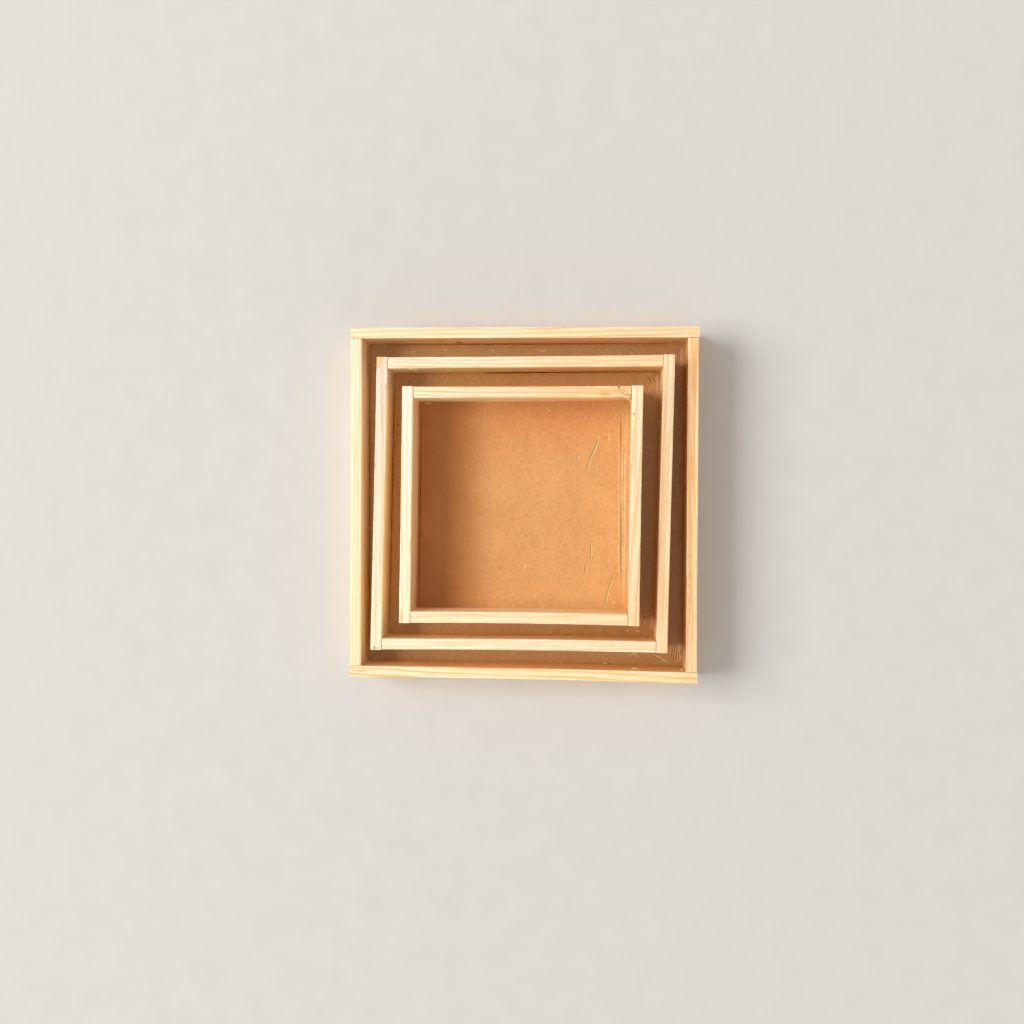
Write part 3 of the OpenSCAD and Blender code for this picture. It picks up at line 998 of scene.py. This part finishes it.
# %% Rings and a grid for the film
SIDE_CELLS = 110
CORNER_CELLS = 8
WALL_STEPS = 4
COVE_STEPS = 6
FILM_GAP = 0.02 * MM
EDGE_LEAN = 0.5 * MM
EDGE_DIP = 0.9 * MM
FLOOR_WAVE = 0.12 * MM
LEANS_PER_M, DIPS_PER_M = 35, 60
WAVES_PER_M = (90, 45)
FILM_SEED = {"outer": 35.0, "middle": 42.0, "small": 35.0}


def film_section(outer):
    """The film's section from its cut edge to the floor: (distance from a corner's centre, height)."""
    thick = 0.0 if outer else FILM_T
    floor = FILM_GAP if outer else FILM_T
    cove = FILM_COVE_R - thick
    wall = FILM_CORNER_R - thick
    base = FILM_CORNER_R - FILM_COVE_R
    rows = [(wall, FILM_H - (FILM_H - FILM_COVE_R) * i / WALL_STEPS) for i in range(WALL_STEPS)]
    turns = [math.pi / 2 * (1 - i / COVE_STEPS) for i in range(COVE_STEPS + 1)]
    rows += [(base + cove * math.sin(a), max(floor, FILM_COVE_R - cove * math.cos(a))) for a in turns]
    return rows + [(base / 2, floor)]


def ring(tray, reach, height):
    """One ring of points round the tray: straight sides, and an arc round each corner's centre."""
    centres = outline(tray, WALL_T + FILM_CORNER_R)
    faces = [tray.lean, math.pi / 2, math.pi + tray.lean, 3 * math.pi / 2, 2 * math.pi + tray.lean]
    points = []
    for k, centre in enumerate(centres):
        for i in range(CORNER_CELLS + 1):
            a = faces[k] + (faces[k + 1] - faces[k]) * i / CORNER_CELLS
            points.append(centre + Vector((reach * math.cos(a), reach * math.sin(a), height)))
        away = Vector((math.cos(faces[k + 1]), math.sin(faces[k + 1]), 0)) * reach
        start, end = centre + away, centres[(k + 1) % 4] + away
        for i in range(1, SIDE_CELLS):
            spot = start.lerp(end, i / SIDE_CELLS)
            points.append(Vector((spot.x, spot.y, height)))
    return points


def ruffle(tray, point):
    """A point of the film moved inwards or down, because its cut edge wanders and its floor waves."""
    seed = Vector((0, 0, FILM_SEED[tray.name]))
    if point.z > FILM_COVE_R:
        share = (point.z - FILM_COVE_R) / (FILM_H - FILM_COVE_R)
        dip = noise.noise(point * DIPS_PER_M + seed) * 0.5 + 0.5
        lean = noise.noise(point * LEANS_PER_M - seed) * 0.5 + 0.5
        inwards = Vector((-point.x, -point.y, 0)).normalized() * lean * EDGE_LEAN * share
        return point + inwards - Vector((0, 0, dip * EDGE_DIP * share))
    spot = Vector((point.x * WAVES_PER_M[0], point.y * WAVES_PER_M[1], 0))
    wave = noise.noise(spot + seed) * 0.5 + 0.5
    return point - Vector((0, 0, wave * FLOOR_WAVE))


print("points in a ring:", 4 * (CORNER_CELLS + SIDE_CELLS))

# %% [markdown]
# The rings' straight sides meet the grid cell by cell, and at each corner the arcs shrink to the
# grid's corner point. Merging the doubled points there closes the sheet.

# %% Build the three film sheets
MERGE_WITHIN = 0.002 * MM
FILM_SHARP = math.radians(60)


def film_mesh(tray):
    """The film as one closed sheet in the tray's place."""
    top = [ring(tray, reach, height) for reach, height in film_section(False)]
    top.append(ring(tray, 0.0, FILM_T))
    under = [ring(tray, reach, height) for reach, height in film_section(True)]
    centres = outline(tray, WALL_T + FILM_CORNER_R)
    mesh = bmesh.new()

    def layer(rows, shape):
        return [[mesh.verts.new(shape(p)) for p in row] for row in rows]

    def skin(one, two):
        count = len(one)
        for i in range(count):
            mesh.faces.new((one[i], one[(i + 1) % count], two[(i + 1) % count], two[i]))

    inner = layer(top, lambda p: ruffle(tray, p))
    outer = layer(under, lambda p: p)
    for rows in (inner, list(reversed(outer))):
        for one, two in zip(rows, rows[1:]):
            skin(one, two)
    # the cut edge joins the two layers
    lip = [mesh.verts.new(v.co) for v in inner[0]]
    skin(outer[0], lip)
    mesh.faces.new(reversed(outer[-1]))
    # the grid in the middle: corner 2 is at local -X -Y, 3 at +X -Y, 0 at +X +Y, 1 at -X +Y
    grid = []
    for j in range(SIDE_CELLS + 1):
        left = centres[2].lerp(centres[1], j / SIDE_CELLS)
        right = centres[3].lerp(centres[0], j / SIDE_CELLS)
        spots = [left.lerp(right, i / SIDE_CELLS) + Vector((0, 0, FILM_T)) for i in range(SIDE_CELLS + 1)]
        grid.append([mesh.verts.new(ruffle(tray, p)) for p in spots])
    for low, high in zip(grid, grid[1:]):
        for i in range(SIDE_CELLS):
            mesh.faces.new((low[i], low[i + 1], high[i + 1], high[i]))
    bmesh.ops.remove_doubles(mesh, verts=mesh.verts, dist=MERGE_WITHIN)
    bmesh.ops.recalc_face_normals(mesh, faces=mesh.faces)
    if mesh.calc_volume(signed=True) < 0:
        bmesh.ops.reverse_faces(mesh, faces=mesh.faces)
    bmesh.ops.transform(mesh, matrix=stand(tray) @ Matrix.Translation((0, 0, PANEL_TOP)), verts=mesh.verts)
    open_edges = sum(1 for edge in mesh.edges if len(edge.link_faces) != 2)
    print(tray.name, "film: open edges", open_edges, "volume, mm3:", round(mesh.calc_volume() / MM**3))
    made = bpy.data.meshes.new(tray.name + "_film")
    mesh.to_mesh(made)
    mesh.free()
    height = made.attributes.new("height_mm", "FLOAT", "POINT")
    for item, vertex in zip(height.data, made.vertices):
        item.value = (vertex.co.z - tray.place.z - PANEL_TOP) / MM
    return made


for tray in TRAYS:
    piece = show(tray.name + "_film", film_mesh(tray))
    piece.data.materials.append(FILM[tray.name])
    piece.data.shade_smooth()
    piece.data.set_sharp_from_angle(angle=FILM_SHARP)
    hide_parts(tray.name + "_film_liner")
    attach(piece, tray.body)
    print(piece.name, triangles(piece), "triangles")

# %% [markdown]
# ## Creases in the film
#
# Where the film was folded or pushed into a corner it keeps creases: thin ridges that catch the light
# on one side. A bump in the film's material could fake them, but they would vanish when seen from the
# side. Each follows a path, so Geometry Nodes draw it: a smooth curve through a few points, with a
# flat oval swept along it, widest in its middle and running out to nothing at both ends. The same
# tree draws the slivers of wood that the saw left on the strips.

# %% The tree that draws ridges and slivers
TAPER_POWER = 0.55  # below 1, so that a ridge stays wide until near its ends
THINNEST = 0.02


def ridge_tree():
    """Sweeps a tapered oval along every line of edges of its mesh."""
    tree, given = new_tree("tapered_ridge", {
        "Paths": "Geometry", "Width": "Float", "Rise": "Float", "Spacing": "Float",
        "Sides": "Int", "Unevenness": "Float", "Finish": "Material"})
    curve = tree.node("GeometryNodeMeshToCurve", None, {"Mesh": given["Paths"]})[0]
    curve = tree.node("GeometryNodeCurveSplineType", {"spline_type": "CATMULL_ROM"}, {"Curve": curve})[0]
    curve = tree.node("GeometryNodeResampleCurve", {"mode": "LENGTH"}, {
        "Curve": curve, "Length": given["Spacing"]})[0]
    curve = tree.node("GeometryNodeSetCurveNormal", {"mode": "Z_UP"}, {"Curve": curve})[0]
    along = tree.node("GeometryNodeSplineParameter")["Factor"]
    point = tree.node("GeometryNodeInputPosition")[0]
    grain = tree.noise(point, 900.0)
    taper = tree.math("SINE", along * math.pi).most(0.0) ** TAPER_POWER
    size = taper * (1.0 + (grain - 0.5) * given["Unevenness"]) + THINNEST
    oval = tree.node("GeometryNodeCurvePrimitiveCircle", None, {
        "Resolution": given["Sides"], "Radius": 1.0})[0]
    oval = tree.node("GeometryNodeTransform", None, {
        "Geometry": oval, "Scale": tree.vector(given["Width"] * 0.5, given["Rise"], 1.0)})[0]
    ridge = tree.node("GeometryNodeCurveToMesh", None, {
        "Curve": curve, "Profile Curve": oval, "Scale": size, "Fill Caps": True})[0]
    ridge = tree.node("GeometryNodeSetShadeSmooth", None, {"Geometry": ridge, "Shade Smooth": False})[0]
    end_tree(tree, ridge, given["Finish"])
    return tree


RIDGE_TREE = ridge_tree()


def paths_mesh(name, paths, height):
    """Lines of edges through paths of (x, y) or (x, y, z) in mm, raised by a height in metres."""
    points, edges = [], []
    for path in paths:
        first = len(points)
        points += [Vector((p[0] * MM, p[1] * MM, height + (p[2] * MM if len(p) > 2 else 0))) for p in path]
        edges += [(first + i, first + i + 1) for i in range(len(path) - 1)]
    return plain_mesh(name, points, edges)


print("nodes in the ridge tree:", len(RIDGE_TREE.group.nodes))

# %% [markdown]
# In the right-hand corners of the outer and middle trays the film had too much width to turn both
# ways, so it lies in pleats: folds along the right wall that curl inwards at the corner. They could
# be drawn point by point, but a rule says it better: each starts a little further from the wall and
# curls a little more, and it climbs the film's round foot where it comes near the wall.

# %% Pleats in the corners
STEEPEST = 0.97  # as far round the film's foot as a pleat climbs, before it would stand upright


def film_rise(u, v):
    """Height in mm of the film over its flat part, u and v mm away from the two walls of a corner."""
    round_r, cove_r = FILM_CORNER_R / MM, FILM_COVE_R / MM
    away = min(u, v)
    if u < round_r and v < round_r:
        away = round_r - math.hypot(round_r - u, round_r - v)
    into = min(cove_r - away, STEEPEST * cove_r)
    return cove_r - math.sqrt(cove_r ** 2 - into ** 2) if into > 0 else 0.0


def in_corner(tray, sy, points):
    """Points (u, v) at the tray's right back (sy 1) or right front (sy -1) corner, as (x, y, z) in mm."""
    spots = [stand(tray) @ point for point in outline(tray, WALL_T)]
    nook = max(spots, key=lambda p: p.x + sy * p.y)
    return [(nook.x / MM - u, nook.y / MM - sy * v, film_rise(u, v)) for u, v in points]


def pleats(tray, sy, outs, reach, curl, seed):
    """Folds that run along the right wall and curl inwards at the corner. outs: mm from the wall."""
    dice = random.Random(seed)
    paths = []
    for out in outs:
        top = reach * dice.uniform(0.7, 1.15)
        foot = 1.2 + 0.4 * out + dice.uniform(-0.4, 0.4)
        turn = curl * out * out
        paths.append(in_corner(tray, sy, [
            (out - 0.15, top + foot), (out + 0.1, 0.65 * top + foot), (out + 0.2 * turn, 0.33 * top + foot),
            (out + 0.55 * turn, 0.12 * top + foot), (out + turn, foot)]))
    return paths


OUTER, MIDDLE, SMALL = TRAYS
print("the film stands", round(film_rise(1.0, 9.0), 2), "mm above its floor at 1 mm from a wall")

# %% [markdown]
# Deep creases run down the right half of the small tray's floor: one slope dark, the other pale. Fine
# folds run along its right wall. Scratches are short strokes. Random strokes would be quicker, but
# they would lie everywhere, and real ones gather where the film was bent or scraped. So each is a
# path of a few points.

# %% Where the film is creased and scratched
# Every path is a list of points, x and y in the set, in mm. A curve runs smoothly through them.
DEEP_CREASES = [
    [(43.4, 41.7), (43.0, 37.6), (42.4, 35.4), (41.3, 31.9), (39.6, 28.4), (38.2, 25.0),
     (37.7, 22.6), (37.6, 19.6), (37.4, 16.9)],
    [(42.6, 36.6), (43.0, 35.8), (43.2, 34.6)],
    [(31.4, 30.7), (31.8, 27.8), (30.8, 24.0)],
    [(39.8, -21.5), (39.6, -26.0), (39.5, -31.5)],
    [(37.0, -34.3), (36.6, -37.3), (36.7, -40.2)],
    [(53.6, -39.7), (52.2, -42.4), (51.0, -45.5), (50.0, -48.6), (49.3, -51.3), (48.4, -55.6),
     (47.4, -59.7)],
]
PALE_CREASES = {
    "small": [
        [(54.8, 46.3), (55.0, 20.0), (55.3, -16.0), (55.9, -57.0)],
        [(56.8, 53.8), (57.0, 18.0), (57.4, -20.0), (57.8, -58.0)],
        [(58.2, 50.0), (58.4, 6.0), (58.9, -54.0)],
    ],
    "middle": pleats(MIDDLE, 1, (1.3, 2.6, 4.4), 5.0, 0.10, 1)
    + pleats(MIDDLE, -1, (0.9, 1.9, 3.1, 4.2, 5.6, 7.0), 12.0, 0.06, 2),
    "outer": pleats(OUTER, 1, (1.0, 1.9, 3.0, 4.2, 5.2), 12.0, 0.06, 3)
    + pleats(OUTER, -1, (0.7, 1.5, 2.6, 3.8, 5.0, 6.2), 9.0, 0.10, 4),
}
STROKES = {
    "small": [
        [(13.1, 56.0), (14.0, 54.8), (15.4, 53.1)],
        [(7.4, 59.4), (8.4, 58.6)],
        [(-43.6, 57.1), (-42.4, 56.6), (-41.8, 55.3)],
        [(-58.0, 57.7), (-55.6, 58.2), (-53.3, 57.8)],
        [(-25.6, -54.6), (-24.8, -55.6)],
        [(-24.2, -58.8), (-23.2, -59.4)],
        [(-15.2, -45.4), (-14.4, -46.4)],
        [(2.0, -34.0), (1.6, -38.0)],
        [(8.0, -52.0), (6.4, -55.0)],
        [(49.5, 41.7), (49.2, 36.0)],
        [(52.0, -56.4), (52.8, -56.4), (52.9, -57.1), (52.2, -57.2), (52.0, -56.6)],
    ],
    "middle": [
        [(-58.0, 74.2), (-56.5, 74.9), (-55.0, 74.3)],
        [(10.0, 73.4), (11.6, 73.9)],
        [(-30.0, 73.0), (-28.8, 74.0)],
        [(60.4, -74.6), (61.4, -73.6), (62.8, -73.4), (63.8, -74.4)],
        [(66.2, -74.8), (67.0, -73.2), (68.4, -74.2)],
    ],
    "outer": [
        [(61.6, -89.9), (64.0, -88.7), (66.6, -87.9), (69.4, -88.3)],
        [(63.8, -87.6), (66.4, -89.0), (67.8, -90.3), (69.4, -88.8), (71.4, -87.8)],
        [(76.6, -87.8), (79.4, -89.3), (82.4, -91.2), (86.0, -92.9)],
        [(81.2, -92.4), (84.0, -91.5), (87.4, -88.6)],
        [(-50.9, 92.8), (-49.4, 91.6), (-47.0, 90.7)],
        [(-68.4, 90.0), (-66.0, 90.3)],
        [(-44.0, -89.6), (-40.0, -91.0), (-36.5, -90.2)],
        [(-19.6, 90.2), (-18.6, 91.6)],
        [(8.0, 91.0), (10.2, 90.4), (12.0, 91.4)],
    ],
}
# Dark creases: fine folds whose dark tint is painted shade.
DARK_CREASES = {
    "small": [[(55.9, 52.0), (56.0, 40.0), (56.1, 28.0)], [(56.4, 2.0), (56.6, -20.0), (56.8, -44.0)]],
    "middle": pleats(MIDDLE, 1, (3.4, 5.4), 4.0, 0.10, 6)
    + pleats(MIDDLE, -1, (1.4, 2.5, 3.6, 4.9, 6.3), 11.0, 0.06, 7),
    "outer": pleats(OUTER, 1, (1.4, 2.4, 3.6, 4.7), 13.0, 0.06, 8)
    + pleats(OUTER, -1, (1.1, 2.0, 3.2, 4.4, 5.6), 9.0, 0.10, 9),
}
print("creases:", len(DEEP_CREASES), "deep,", sum(len(paths) for paths in PALE_CREASES.values()), "fine")

# %% [markdown]
# At the foot of a left or back wall one long fold of the film shows dark: a painted shadow line where
# the film meets the wall. It could be one more list of points, but it runs along the wall, so its ends
# and its height on the film's round foot come from the sizes of the tray. One of them turns the corner
# and runs on a little.

# %% Long folds at the foot of the walls
# For the sides where the film shows a fold with a painted shadow line: how far the fold lies from the wall,
# mm.
FOLDS = {"small": {"left": 1.6}, "middle": {"left": 0.6, "back": 0.5}, "outer": {"left": 0.6, "back": 0.5}}
FOLD_SHARES = (0.04, 0.35, 0.65, 0.96)  # where its points lie along the wall
FOLD_TURN = [(8.0, 0.5), (5.0, 0.6), (3.0, 1.2), (1.4, 2.6), (0.8, 4.6), (0.7, 9.0)]


def fold_line(tray, side, out):
    """The fold along one wall, in mm, and its height on the film's round foot, in metres."""
    ends = [stand(tray) @ point for point in outline(tray, WALL_T + out)]
    start, end = sorted(ends, key=lambda p: p.x if side == "left" else -p.y)[:2]
    spots = [start.lerp(end, share) for share in FOLD_SHARES]
    line = [(p.x / MM, p.y / MM) for p in spots]
    if (tray, side) == (MIDDLE, "back"):
        line = line[:-1] + [(x, y) for x, y, z in in_corner(tray, 1, FOLD_TURN)]
    up = FILM_COVE_R - math.sqrt(FILM_COVE_R ** 2 - (FILM_COVE_R - out) ** 2)
    return line, up


print("long folds:", sum(len(sides) for sides in FOLDS.values()))

# %% Draw the creases
CREASE_DEPTH = 0.04 * MM
CREASE_SPACING = 0.5 * MM
CREASE_SIDES = 4
Ridge = namedtuple("Ridge", "width rise unevenness")  # the sizes in mm
DEEP = Ridge(1.3, 0.09, 0.9)
PALE = Ridge(0.5, 0.09, 0.9)
SCRATCH = Ridge(0.62, 0.09, 0.7)
DARK = Ridge(0.5, 0.07, 1.2)
LONG_FOLD = Ridge(0.5, 0.06, 1.4)


def ridges(name, tray, paths, height, finish, ridge):
    """Tapered ridges along paths, in one piece."""
    piece = grow(name, paths_mesh(name + "_paths", paths, height), RIDGE_TREE, {
        "Width": ridge.width * MM, "Rise": ridge.rise * MM, "Spacing": CREASE_SPACING,
        "Sides": CREASE_SIDES, "Unevenness": ridge.unevenness, "Finish": finish})
    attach(piece, tray.body)
    print(piece.name, len(paths), "ridges,", triangles(piece), "triangles")


for tray in TRAYS:
    name = tray.name
    film_z = tray.place.z + STEP
    sunk_z = film_z - CREASE_DEPTH
    ridges(name + "_pale_creases", tray, PALE_CREASES[name], sunk_z, PALE_FILM[name], PALE)
    ridges(name + "_scratches", tray, STROKES[name], film_z, SCRATCHED_FILM, SCRATCH)
    ridges(name + "_dark_creases", tray, DARK_CREASES[name], sunk_z, SHADE_FILM, DARK)
    for side, out in FOLDS[name].items():
        line, up = fold_line(tray, side, out * MM)
        ridges(f"{name}_{side}_film_fold", tray, [line], film_z + up, FOLD_SHADOW_FILM, LONG_FOLD)
ridges("small_deep_creases", SMALL, DEEP_CREASES, SMALL.place.z + STEP - CREASE_DEPTH, CREASED_FILM, DEEP)

# %% [markdown]
# A saw and a knife leave slivers at a strip's edge: fine curls of pale wood that hang on by one end.
# Hair particles could draw them, but there are only a few, each in its own place. So the same tree
# draws them with a rounder oval, and they ride with their tray.

# %% Slivers of wood
SLIVER_ROUND = 0.35  # rise for its width
SLIVER_SPACING = 0.3 * MM
SLIVER_SIDES = 6
SLIVER_UNEVENNESS = 0.8
# For each strip: width in mm, the board whose finish they share, and their points in the set, in mm.
SLIVERS = {
    "middle_back_strip": (0.45, "outer_right_strip", [
        [(-66.0, 77.0, 35.1), (-64.6, 76.2, 34.8), (-62.2, 76.3, 34.6)],
        [(-64.4, 76.9, 35.1), (-62.2, 75.9, 34.2), (-60.4, 74.6, 33.6)],
        [(-63.0, 77.0, 35.1), (-61.0, 76.4, 34.9), (-59.2, 75.4, 34.4)],
        [(-57.6, 77.0, 35.0), (-57.2, 76.2, 34.4)]]),
    "small_back_strip": (0.38, "small_front_strip", [
        [(56.4, 59.7, 42.3), (58.4, 59.3, 42.2), (60.0, 57.8, 42.0), (60.6, 55.8, 41.6)],
        [(57.4, 59.5, 42.2), (59.4, 58.6, 42.0), (60.3, 57.0, 41.8)]]),
    "outer_front_strip": (0.55, "small_left_strip", [
        [(47.2, -94.4, 9.4), (48.2, -93.6, 9.0), (49.0, -94.0, 9.4), (49.6, -93.2, 9.0)],
        [(63.0, -94.8, 20.0), (65.0, -94.5, 20.4), (67.4, -94.7, 20.2)],
        [(91.4, -94.8, 21.0), (92.6, -94.4, 22.0), (93.2, -94.4, 20.0), (92.8, -94.7, 18.0)]]),
}
for strip in STRIPS:
    if strip.name in SLIVERS:
        width, board, curls = SLIVERS[strip.name]
        start = paths_mesh(strip.name + "_sliver_paths", curls, 0.0)
        piece = grow(strip.name.replace("_strip", "_slivers"), start, RIDGE_TREE, {
            "Width": width * MM, "Rise": SLIVER_ROUND * width * MM, "Spacing": SLIVER_SPACING,
            "Sides": SLIVER_SIDES, "Unevenness": SLIVER_UNEVENNESS, "Finish": PINE[board]})
        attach(piece, strip.tray.body)
        print(piece.name, triangles(piece), "triangles")

# %% [markdown]
# ## The brads
#
# Eight steel brads hold each tray, driven through the full-length strips into the ends of the others.
# Eight copies by hand would have to be changed eight times. So one brad is modelled and set on eight
# points, each with the direction that it was driven in. That is what instances are for.

# %% The steel finish
STEEL_GREY, STEEL_DULL = colour(176, 174, 170), colour(140, 136, 130)
RUST = colour(134, 88, 56)
STEEL_RELIEF = 0.03 * MM


def steel():
    """Drawn steel wire, dulled, with a little rust."""
    material, tree = new_material("brad_steel")
    place = tree.node("ShaderNodeTexCoord")["Object"]
    dull = tree.noise(place, 1400.0, 3.0)
    rusty = tree.noise(place, 520.0).rise(0.52, 0.72)
    tone = tree.mix(tree.mix(STEEL_GREY, STEEL_DULL, dull), RUST, rusty * 0.6)
    tree.surface(tree.principled({
        "Base Color": tone, "Metallic": 1.0 - rusty * 0.6, "Roughness": 0.32 + dull * 0.2 + rusty * 0.25,
        "Normal": tree.bump(dull, 0.4, STEEL_RELIEF)}))
    return material


STEEL = steel()
print("finish:", STEEL.name)

# %% The tree that drives the brads
BRAD_D, BRAD_L, BRAD_POINT = 1.2 * MM, 20 * MM, 1.8 * MM
HEAD_D, HEAD_T = 2.0 * MM, 0.6 * MM
HEAD_SIDES, SHANK_SIDES = 20, 16
BLUNT = 0.06  # radius of the very point, as a share of the shank's diameter


def brad_tree():
    """Sets one brad on every point, aimed along the attribute drive."""
    tree, given = new_tree("driven_brads", {
        "Spots": "Geometry", "Shank": "Float", "Length": "Float", "Point": "Float",
        "Head": "Float", "Head Thickness": "Float", "Finish": "Material"})

    def lowered(shape, depth):
        return tree.node("GeometryNodeTransform", None, {
            "Geometry": shape, "Translation": tree.vector(0.0, 0.0, depth)})[0]

    head = tree.node("GeometryNodeMeshCylinder", None, {
        "Vertices": HEAD_SIDES, "Radius": given["Head"] * 0.5, "Depth": given["Head Thickness"]})[0]
    shank_length = given["Length"] - given["Point"] - given["Head Thickness"]
    shank = tree.node("GeometryNodeMeshCylinder", None, {
        "Vertices": SHANK_SIDES, "Radius": given["Shank"] * 0.5, "Depth": shank_length})[0]
    point = tree.node("GeometryNodeMeshCone", None, {
        "Vertices": SHANK_SIDES, "Radius Top": given["Shank"] * 0.5,
        "Radius Bottom": given["Shank"] * BLUNT, "Depth": given["Point"]})[0]
    parts = tree.node("GeometryNodeJoinGeometry")
    joined = parts.made.inputs[0]
    shapes = [lowered(point, given["Length"] * -1.0),
              lowered(shank, given["Head Thickness"] * -1.0 - shank_length * 0.5),
              lowered(head, given["Head Thickness"] * -0.5)]
    for shape in shapes:
        tree.group.links.new(shape.socket, joined)
    drive = tree.node("GeometryNodeInputNamedAttribute", {"data_type": "FLOAT_VECTOR"}, {
        "Name": "drive"})[0]
    aim = tree.node("FunctionNodeAlignRotationToVector", {"axis": "Z"}, {"Vector": drive})[0]
    set_brads = tree.node("GeometryNodeInstanceOnPoints", None, {
        "Points": given["Spots"], "Instance": parts[0], "Rotation": aim})[0]
    end_tree(tree, set_brads, given["Finish"])
    return tree


BRAD_TREE = brad_tree()
print("nodes in the brad tree:", len(BRAD_TREE.group.nodes))


# %% Drive the brads
def brad_spots(tray):
    """The eight head centres of a tray as points, each with the direction its head faces."""
    spots, aims = [], []
    for sx in (-1, 1):
        for sy in (-1, 1):
            middle = (corner(tray, sx, sy, 0).x + corner(tray, sx, sy, WALL_T).x) / 2
            for height in BRAD_HEIGHTS:
                spots.append(stand(tray) @ Vector((middle, sy * tray.across / 2, height)))
                aims.append(Matrix.Rotation(tray.turn, 3, "Z") @ Vector((0, sy, 0)))
    mesh = plain_mesh(tray.name + "_brad_spots", spots, [])
    drive = mesh.attributes.new("drive", "FLOAT_VECTOR", "POINT")
    for item, aim in zip(drive.data, aims):
        item.vector = aim
    return mesh


for tray in TRAYS:
    piece = grow(tray.name + "_brad_set", brad_spots(tray), BRAD_TREE, {
        "Shank": BRAD_D, "Length": BRAD_L, "Point": BRAD_POINT, "Head": HEAD_D,
        "Head Thickness": HEAD_T, "Finish": STEEL})
    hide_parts(tray.name + "_brads")
    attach(piece, tray.body)
    low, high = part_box(tray.name + "_brads")
    print(piece.name, triangles(piece), "triangles, engineering box", low, high)

# %% [markdown]
# ## Floor, light and camera
#
# The set stands on a plain pale floor. A sun would give the shadows hard edges, and a lamp close by
# would light one side more than the other. So one large soft lamp stands eight metres away at the
# left, low enough that each rim throws a shadow across the tray inside it. A warm sky fills the
# shadows. It is brighter towards the horizon, and most at the front right, across from the lamp, as a
# pale wall would be: that lights the upright faces. The camera looks almost straight down.

# %% A pale floor
FLOOR_PALE, FLOOR_SHADE = colour(222, 221, 218), colour(214, 213, 210)
FLOOR_HALF = 2.5


def pale_floor():
    """A matt off-white sheet with a trace of mottling."""
    material, tree = new_material("pale_floor")
    mottle = tree.noise(tree.node("ShaderNodeTexCoord")["Object"], 60.0, 3.0)
    tree.surface(tree.principled({
        "Base Color": tree.mix(FLOOR_PALE, FLOOR_SHADE, mottle), "Roughness": 0.8,
        "Specular IOR Level": 0.2}))
    return material


spots = [(x * FLOOR_HALF, y * FLOOR_HALF, 0) for x, y in ((-1, -1), (1, -1), (1, 1), (-1, 1))]
floor = show("floor", plain_mesh("floor", spots, [], [(0, 1, 2, 3)]))
floor.data.materials.append(pale_floor())
print("floor:", 2 * FLOOR_HALF, "m square")

# %% The lamp and the sky
LAMP_AZIMUTH = math.radians(173)
LAMP_HEIGHT = math.radians(37)
LAMP_AWAY = 8.0
LAMP_WIDE, LAMP_TALL = 5.1, 4.2
LAMP_COLOUR = (0.98, 0.985, 0.97)
LAMP_POWER = 568.0
SKY_ABOVE = 0.46
SKY_AROUND = 0.90
SKY_FILL = 1.0
FILL_AZIMUTH = math.radians(-58)
SKY_SEEN = 0.60  # its plain strength where the camera or a mirror sees it
SKY_WARM = (1.0, 0.94, 0.89, 1.0)
SKY_PLAIN = (0.97, 0.97, 0.96, 1.0)

lamp = bpy.data.lights.new("window_lamp", "AREA")
lamp.shape = "RECTANGLE"
lamp.size = LAMP_WIDE
lamp.size_y = LAMP_TALL
lamp.energy = LAMP_POWER
lamp.color = LAMP_COLOUR
lamp_object = bpy.data.objects.new("window_lamp", lamp)
towards = Vector((math.cos(LAMP_AZIMUTH) * math.cos(LAMP_HEIGHT),
                  math.sin(LAMP_AZIMUTH) * math.cos(LAMP_HEIGHT), math.sin(LAMP_HEIGHT)))
lamp_object.location = towards * LAMP_AWAY
lamp_object.rotation_euler = (-towards).to_track_quat("-Z", "Y").to_euler()
lamp_object.visible_camera = False
scene.collection.objects.link(lamp_object)

world = bpy.data.worlds.new("sky")
scene.world = world
world.use_nodes = True
world.node_tree.nodes.clear()
sky = Tree(world.node_tree)
path = sky.node("ShaderNodeLightPath")
seen = path["Is Camera Ray"].most(path["Is Glossy Ray"]).most(path["Is Transmission Ray"])
east, north, height = sky.split(sky.node("ShaderNodeTexCoord")["Generated"])
low = 1.0 - height.clip()
ahead = (east * math.cos(FILL_AZIMUTH) + north * math.sin(FILL_AZIMUTH)).clip()
glow = SKY_ABOVE + (SKY_AROUND - SKY_ABOVE + SKY_FILL * ahead) * low * low
strength = glow + seen * (SKY_SEEN - glow)
background = sky.node("ShaderNodeBackground", None, {
    "Color": sky.mix(SKY_WARM, SKY_PLAIN, seen), "Strength": strength})
sky.node("ShaderNodeOutputWorld", None, {"Surface": background[0]})
print("lamp at", tuple(round(c, 2) for c in lamp_object.location))

# %% The camera
CAMERA_AT = Vector((0.03229, 0.00287, 0.5916))
CAMERA_AIM = Vector((-0.00781, -0.00511, 0.0))
CAMERA_ROLL = math.radians(-0.474)
SENSOR = 36.0
LENS = 34.63

camera_data = bpy.data.cameras.new("camera")
camera_data.sensor_width = SENSOR
camera_data.lens = LENS
camera = bpy.data.objects.new("camera", camera_data)
look = (CAMERA_AIM - CAMERA_AT).normalized()
upright = (Vector((0, 1, 0)) - look * look.y).normalized()
sideways = look.cross(upright)
up = upright * math.cos(CAMERA_ROLL) + sideways * math.sin(CAMERA_ROLL)
turned = Matrix((look.cross(up), up, -look)).transposed()
camera.matrix_world = Matrix.Translation(CAMERA_AT) @ turned.to_4x4()
scene.collection.objects.link(camera)
scene.camera = camera
scene.view_settings.view_transform = "Standard"
print("camera looks along", tuple(round(c, 4) for c in look), "with up", tuple(round(c, 4) for c in up))

# %% [markdown]
# ## The last update
#
# The view layer is updated once more.

# %% Update the view layer
bpy.context.view_layer.update()
